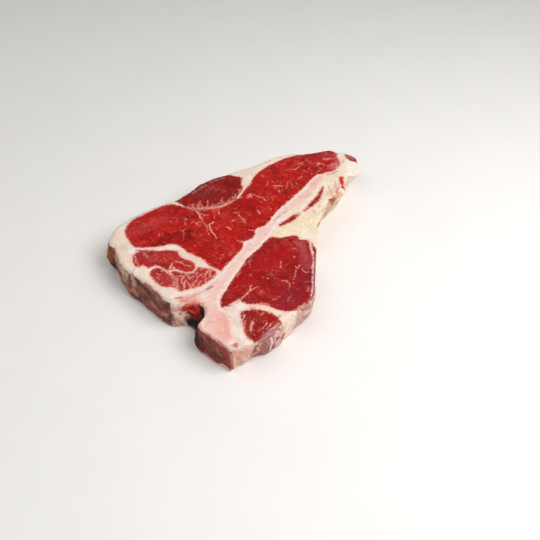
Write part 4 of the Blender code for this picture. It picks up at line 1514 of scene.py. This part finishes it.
@dataclass(frozen=True)
class SpineMuscles:
    """The streaked muscles on both sides of the bone's head.

    Attributes:
        bundle: size of their fibre bundles, mm.
        step: grid, mm.
    """

    bundle: float = 1.5
    step: float = 0.5

    def veins(self) -> tuple[Vein, ...]:
        """The pale threads of the three bundles left of the bone, which run on from one to the next.

        Returns:
            The two thick ones, then the others.
        """
        return threads_of(
            0.75, ((-40.7, -25.4), (-38.5, -29.7), (-35.6, -34.2)),
            ((-37, -28.3), (-32.6, -28.8), (-27.3, -28.5)),
        ) + threads_of(
            0.62, ((-20.5, -30.5), (-18, -27), (-19, -23.5)), ((-20.5, -35), (-19.5, -39), (-17, -42.5)),
            ((-24.5, -33), (-23, -37.5), (-18.5, -41)), ((-26, -38.5), (-25, -41), (-21.5, -44)),
            ((-17.5, -36), (-14, -38.5)), ((-8, -28), (-9.5, -25), (-7, -21.5)), ((-11, -33), (-11.5, -28.5)),
            ((-13.5, -37), (-15, -30.5), (-15.5, -26), (-14, -23)), ((-11.5, -24), (-13, -17.5), (-15, -15)),
            ((-9.5, -21.5), (-11.5, -16.5)), ((-4.5, -23.5), (-5.5, -19.5)), ((-31, -36.5), (-25.5, -32)),
            ((-18, -20), (-16.5, -16)), ((-28.5, -42), (-27, -37)), ((-24.5, -30), (-19.5, -32)),
            ((-70.5, -33), (-66, -37), (-62, -39.5)), ((-67.5, -26.5), (-60, -29.5)),
            ((-39, -22.5), (-35, -21.5), (-32, -22), (-26.5, -21)), ((-43.5, -40), (-40.5, -40.5)),
            ((-41, -43.5), (-38, -44)), ((-34, -45.5), (-34.5, -47.5)))

    def streaks(self) -> tuple[Vein, ...]:
        """The pale streaks of the small muscle beside the tenderloin's head.

        Returns:
            The two thick ones, then the others.
        """
        return threads_of(
            0.8, ((43, -44.5), (44, -48), (46, -52)), ((34, -42), (37, -49), (41, -54)),
        ) + threads_of(
            0.42, ((44.5, -33), (44.5, -36.5)), ((51, -40.5), (52, -44), (51.5, -47)),
            ((54.5, -38), (55, -42), (54, -46)), ((38, -46), (40, -51), (44, -56)), ((49.5, -46), (51, -50)))

    def pieces(self) -> tuple[Piece, ...]:
        """The pieces of this part.

        Returns:
            The three bundles left of the bone and the small muscle right of it, ready to build.
        """
        upper = RawLean("#921412", "#b0211e", "#cc423a", bundle=self.bundle, fleck=0.7, shadow="#8a0c0c")
        lower = RawLean("#931f20", "#b03030", "#c8504a", bundle=self.bundle, fleck=0.5, streaks=0.25,
                        shadow="#8a1414")
        minor = RawLean("#7e0d0c", "#9c1816", "#b8342f", "#e3a496", bundle=1.2, fleck=0.3, streaks=0.3,
                        membrane="#bd8580")
        rows = (("multifidus_upper", upper, 0.35, self.veins(), ((-30, -28, 16),)),
                ("multifidus_lower", lower, 0.25, self.veins(), ()),
                ("multifidus_inner", lower, 0.25, self.veins(), ()),
                ("psoas_minor", minor, 0.3, self.streaks(), ()))
        return tuple(Piece(node, "streaked_muscle", Tissue.LEAN, finish, self.step, dome, veins=veins,
                           thickly=thickly) for node, finish, dome, veins, thickly in rows)


@dataclass(frozen=True)
class TenderloinMuscle:
    """The round tenderloin on the other side of the stem.

    Attributes:
        bundle: size of its fibre bundles, mm; they are the finest of the steak.
        dome: how far it swells above its border, mm.
        step: grid, mm.
    """

    bundle: float = 1.5
    dome: float = 0.5
    step: float = 0.5

    def veins(self) -> tuple[Vein, ...]:
        """Its marbling.

        Returns:
            Its thick threads, its thin ones and its flecks.
        """
        return threads_of(
            0.75, ((21, -36.5), (24, -31.5), (25.5, -27), (25.5, -22.5), (23.5, -15.5)),
            ((10.5, -12.5), (10, -8)),
        ) + threads_of(
            0.45, ((26, -23.5), (27, -18), (28.5, -14)), ((8, -1.5), (8, 3.5), (9.5, 5.5), (13.5, 0)),
            ((41, 0.5), (44, 2), (48, -0.5), (49.5, -3)), ((48, 5.5), (47, 9.5), (45, 14.5)),
            ((43, 18.5), (45.5, 17), (45, 21)), ((48.5, 18), (52, 17), (53.5, 19)), ((30, 17), (33.5, 10.5)),
            ((37.5, 25.5), (37, 28)), ((56, 6.5), (58, 9)), ((61.5, 4), (62.5, 1)),
            ((44.5, -19.5), (47, -12.5)), ((54, -15.5), (54, -8.5)), ((35.5, -29.5), (43.5, -24.5)),
            ((17, -5), (18.5, -7)),
        ) + threads_of(
            0.55, ((15, -8.5),), ((27, -4),), ((30.5, -3),), ((49.5, 2.5),), ((64, -15),), ((29, 42),),
            ((32, 40),), ((34, 43),), ((37, 39),), ((38, 42),))

    def pieces(self) -> tuple[Piece, ...]:
        """The pieces of this part.

        Returns:
            The tenderloin, ready to build.
        """
        finish = RawLean("#880d0c", "#9e1514", "#b8302c", bundle=self.bundle, fleck=0.5, membrane="#e6cfc6")
        return (Piece("tenderloin", "tenderloin_muscle", Tissue.LEAN, finish, self.step, self.dome,
                      veins=self.veins(), thickly=((33, 41, 10), (50, 10, 16))),)


@dataclass(frozen=True)
class TBone:
    """The T-shaped bone: a long stem, a broad head sawn through at the spine, and two flat wings.

    Attributes:
        pore: spacing of the pits in its spongy middle, mm.
        step: grid, mm.
    """

    pore: float = 1.3
    step: float = 0.55

    def pieces(self) -> tuple[Piece, ...]:
        """The pieces of this part.

        Returns:
            The bone, ready to build.
        """
        return (Piece("bone", "sawn_bone", Tissue.BONE, SawnBone(pore=self.pore), self.step, 0.1,
                      ((14.0, 0.10), (4.0, 0.05)), ((9.0, 0.2), (3.0, 0.1))),)


@dataclass(frozen=True)
class FatCover:
    """The fat: the thick cover on the back, the kidney fat towards the tail, and the fat at the chine.

    Attributes:
        lobule: size of its lobules, mm.
        step: grid, mm.
        dome: how far it swells above its border, mm.
    """

    lobule: float = 4.2
    step: float = 0.6
    dome: float = 0.3

    def pieces(self) -> tuple[Piece, ...]:
        """The pieces of this part.

        Returns:
            The fat of the back, the kidney and the chine, ready to build.
        """
        back = RawFat(lobule=self.lobule)
        kidney = RawFat("#f3e6d6", "#eed9c0", "#f0dcb8", lobule=5.0)
        return tuple(Piece(node, "beef_fat", Tissue.FAT, finish, self.step, self.dome,
                           ((6.5, 0.30), (2.6, 0.16)), ((9.0, 0.5), (3.2, 0.25)))
                     for node, finish in (("back_fat", back), ("kidney_fat", kidney), ("chine_fat", back)))


# ---------------------------------------------------------------- the studio
@dataclass(frozen=True)
class Lamp:
    """A soft square light.

    Attributes:
        azimuth: where it hangs, degrees, with 0 in front of the bone's sawn end.
        elevation: degrees above the floor.
        distance: from the steak, m.
        size: its side, m.
        power: W.
    """

    azimuth: float
    elevation: float
    distance: float
    size: float
    power: float


@dataclass(frozen=True)
class Studio:
    """A plain pale floor, soft light, and the camera.

    Attributes:
        aim: the place on the floor in the middle of the view, m.
        distance: of the camera from there, m.
        azimuth: direction of the camera from there, degrees.
        elevation: its height, degrees.
        lens: focal length, mm, on a 36 mm wide sensor.
        lamps: its lights.
        floor: colour of the floor.
        shade: colour of the floor's darker clouds.
        air: colour of the light from all round.
        air_strength: how strong that light is.
    """

    aim: tuple = (0.03445, -0.02233, 0.0)
    distance: float = 0.5216
    azimuth: float = 30.0
    elevation: float = 45.0
    lens: float = 42.87
    lamps: tuple = (Lamp(95, 54, 0.85, 0.55, 6.0), Lamp(-60, 60, 1.4, 1.2, 4.0))
    floor: str = "#f1efec"
    shade: str = "#efedea"
    air: str = "#fbfaf8"
    air_strength: float = 0.34

    def towards(self, azimuth: float, elevation: float) -> Vector:
        """Unit vector from the steak towards a direction in degrees."""
        turn, tilt = math.radians(azimuth), math.radians(elevation)
        return Vector((math.sin(turn) * math.cos(tilt), -math.cos(turn) * math.cos(tilt), math.sin(tilt)))

    def place(self, item: bpy.types.Object, azimuth: float, elevation: float, distance: float) -> None:
        """Hangs a camera or a light and turns it to the aim.

        Args:
            item: the camera or light.
            azimuth: degrees.
            elevation: degrees.
            distance: metres.
        """
        bpy.context.scene.collection.objects.link(item)
        back = self.towards(azimuth, elevation)
        item.location = Vector(self.aim) + back * distance
        item.rotation_mode = "QUATERNION"
        item.rotation_quaternion = back.to_track_quat("Z", "Y")

    def build(self) -> None:
        """Sets up floor, lights, world and camera."""
        bm = bmesh.new()
        bmesh.ops.create_grid(bm, x_segments=2, y_segments=2, size=2.5)
        mesh = bpy.data.meshes.new("studio_floor")
        bm.to_mesh(mesh)
        bm.free()
        w = Weave("studio_paper_matt")
        mesh.materials.append(w.close(
            w.coats(rgba(self.floor), (self.shade, w.blotches(60.0, 0.3, 0.7))),
            w.blotches(0.8, 0.0, 1.0, 0.0, 0.0, 0.02), w.blotches(20.0, 0.3, 0.7, 0.0, 0.80, 0.88), {}))
        ground = bpy.data.objects.new("studio_floor", mesh)
        bpy.context.scene.collection.objects.link(ground)
        for number, lamp in enumerate(self.lamps):
            light = bpy.data.lights.new(f"softbox_{number}", "AREA")
            light.size = lamp.size
            light.energy = lamp.power
            self.place(bpy.data.objects.new(light.name, light), lamp.azimuth, lamp.elevation, lamp.distance)
        world = bpy.data.worlds.new("studio_air")
        world.use_nodes = True
        for name, value in (("Color", rgba(self.air)), ("Strength", self.air_strength)):
            world.node_tree.nodes["Background"].inputs[name].default_value = value
        bpy.context.scene.world = world
        camera = bpy.data.cameras.new("camera")
        camera.lens = self.lens
        camera.clip_start = 0.01
        eye = bpy.data.objects.new("camera", camera)
        self.place(eye, self.azimuth, self.elevation, self.distance)
        bpy.context.scene.camera = eye
        bpy.context.scene.view_settings.view_transform = "Standard"


def main() -> None:
    """Builds the steak's parts in order, then the studio."""
    logging.basicConfig(level=logging.INFO, format="%(name)s %(message)s")
    parts = (LoinMuscles(), SpineMuscles(), TenderloinMuscle(), TBone(), FatCover())
    places = (BroadTints(), BoneBlush(), Rind(), ChineSide(), SawnEnd(), SpineNotch(), TailEdge())
    marks = [mark for place in places for mark in place.marks()]
    pieces = [piece for part in parts for piece in part.pieces()]
    near = Neighbours({piece.node: piece.tissue for piece in pieces})
    for piece in pieces:
        replace(piece, marks=tuple(mark for mark in marks if piece.tissue in mark.tissues)).build(near)
    Studio().build()


if __name__ == "__main__":
    main()
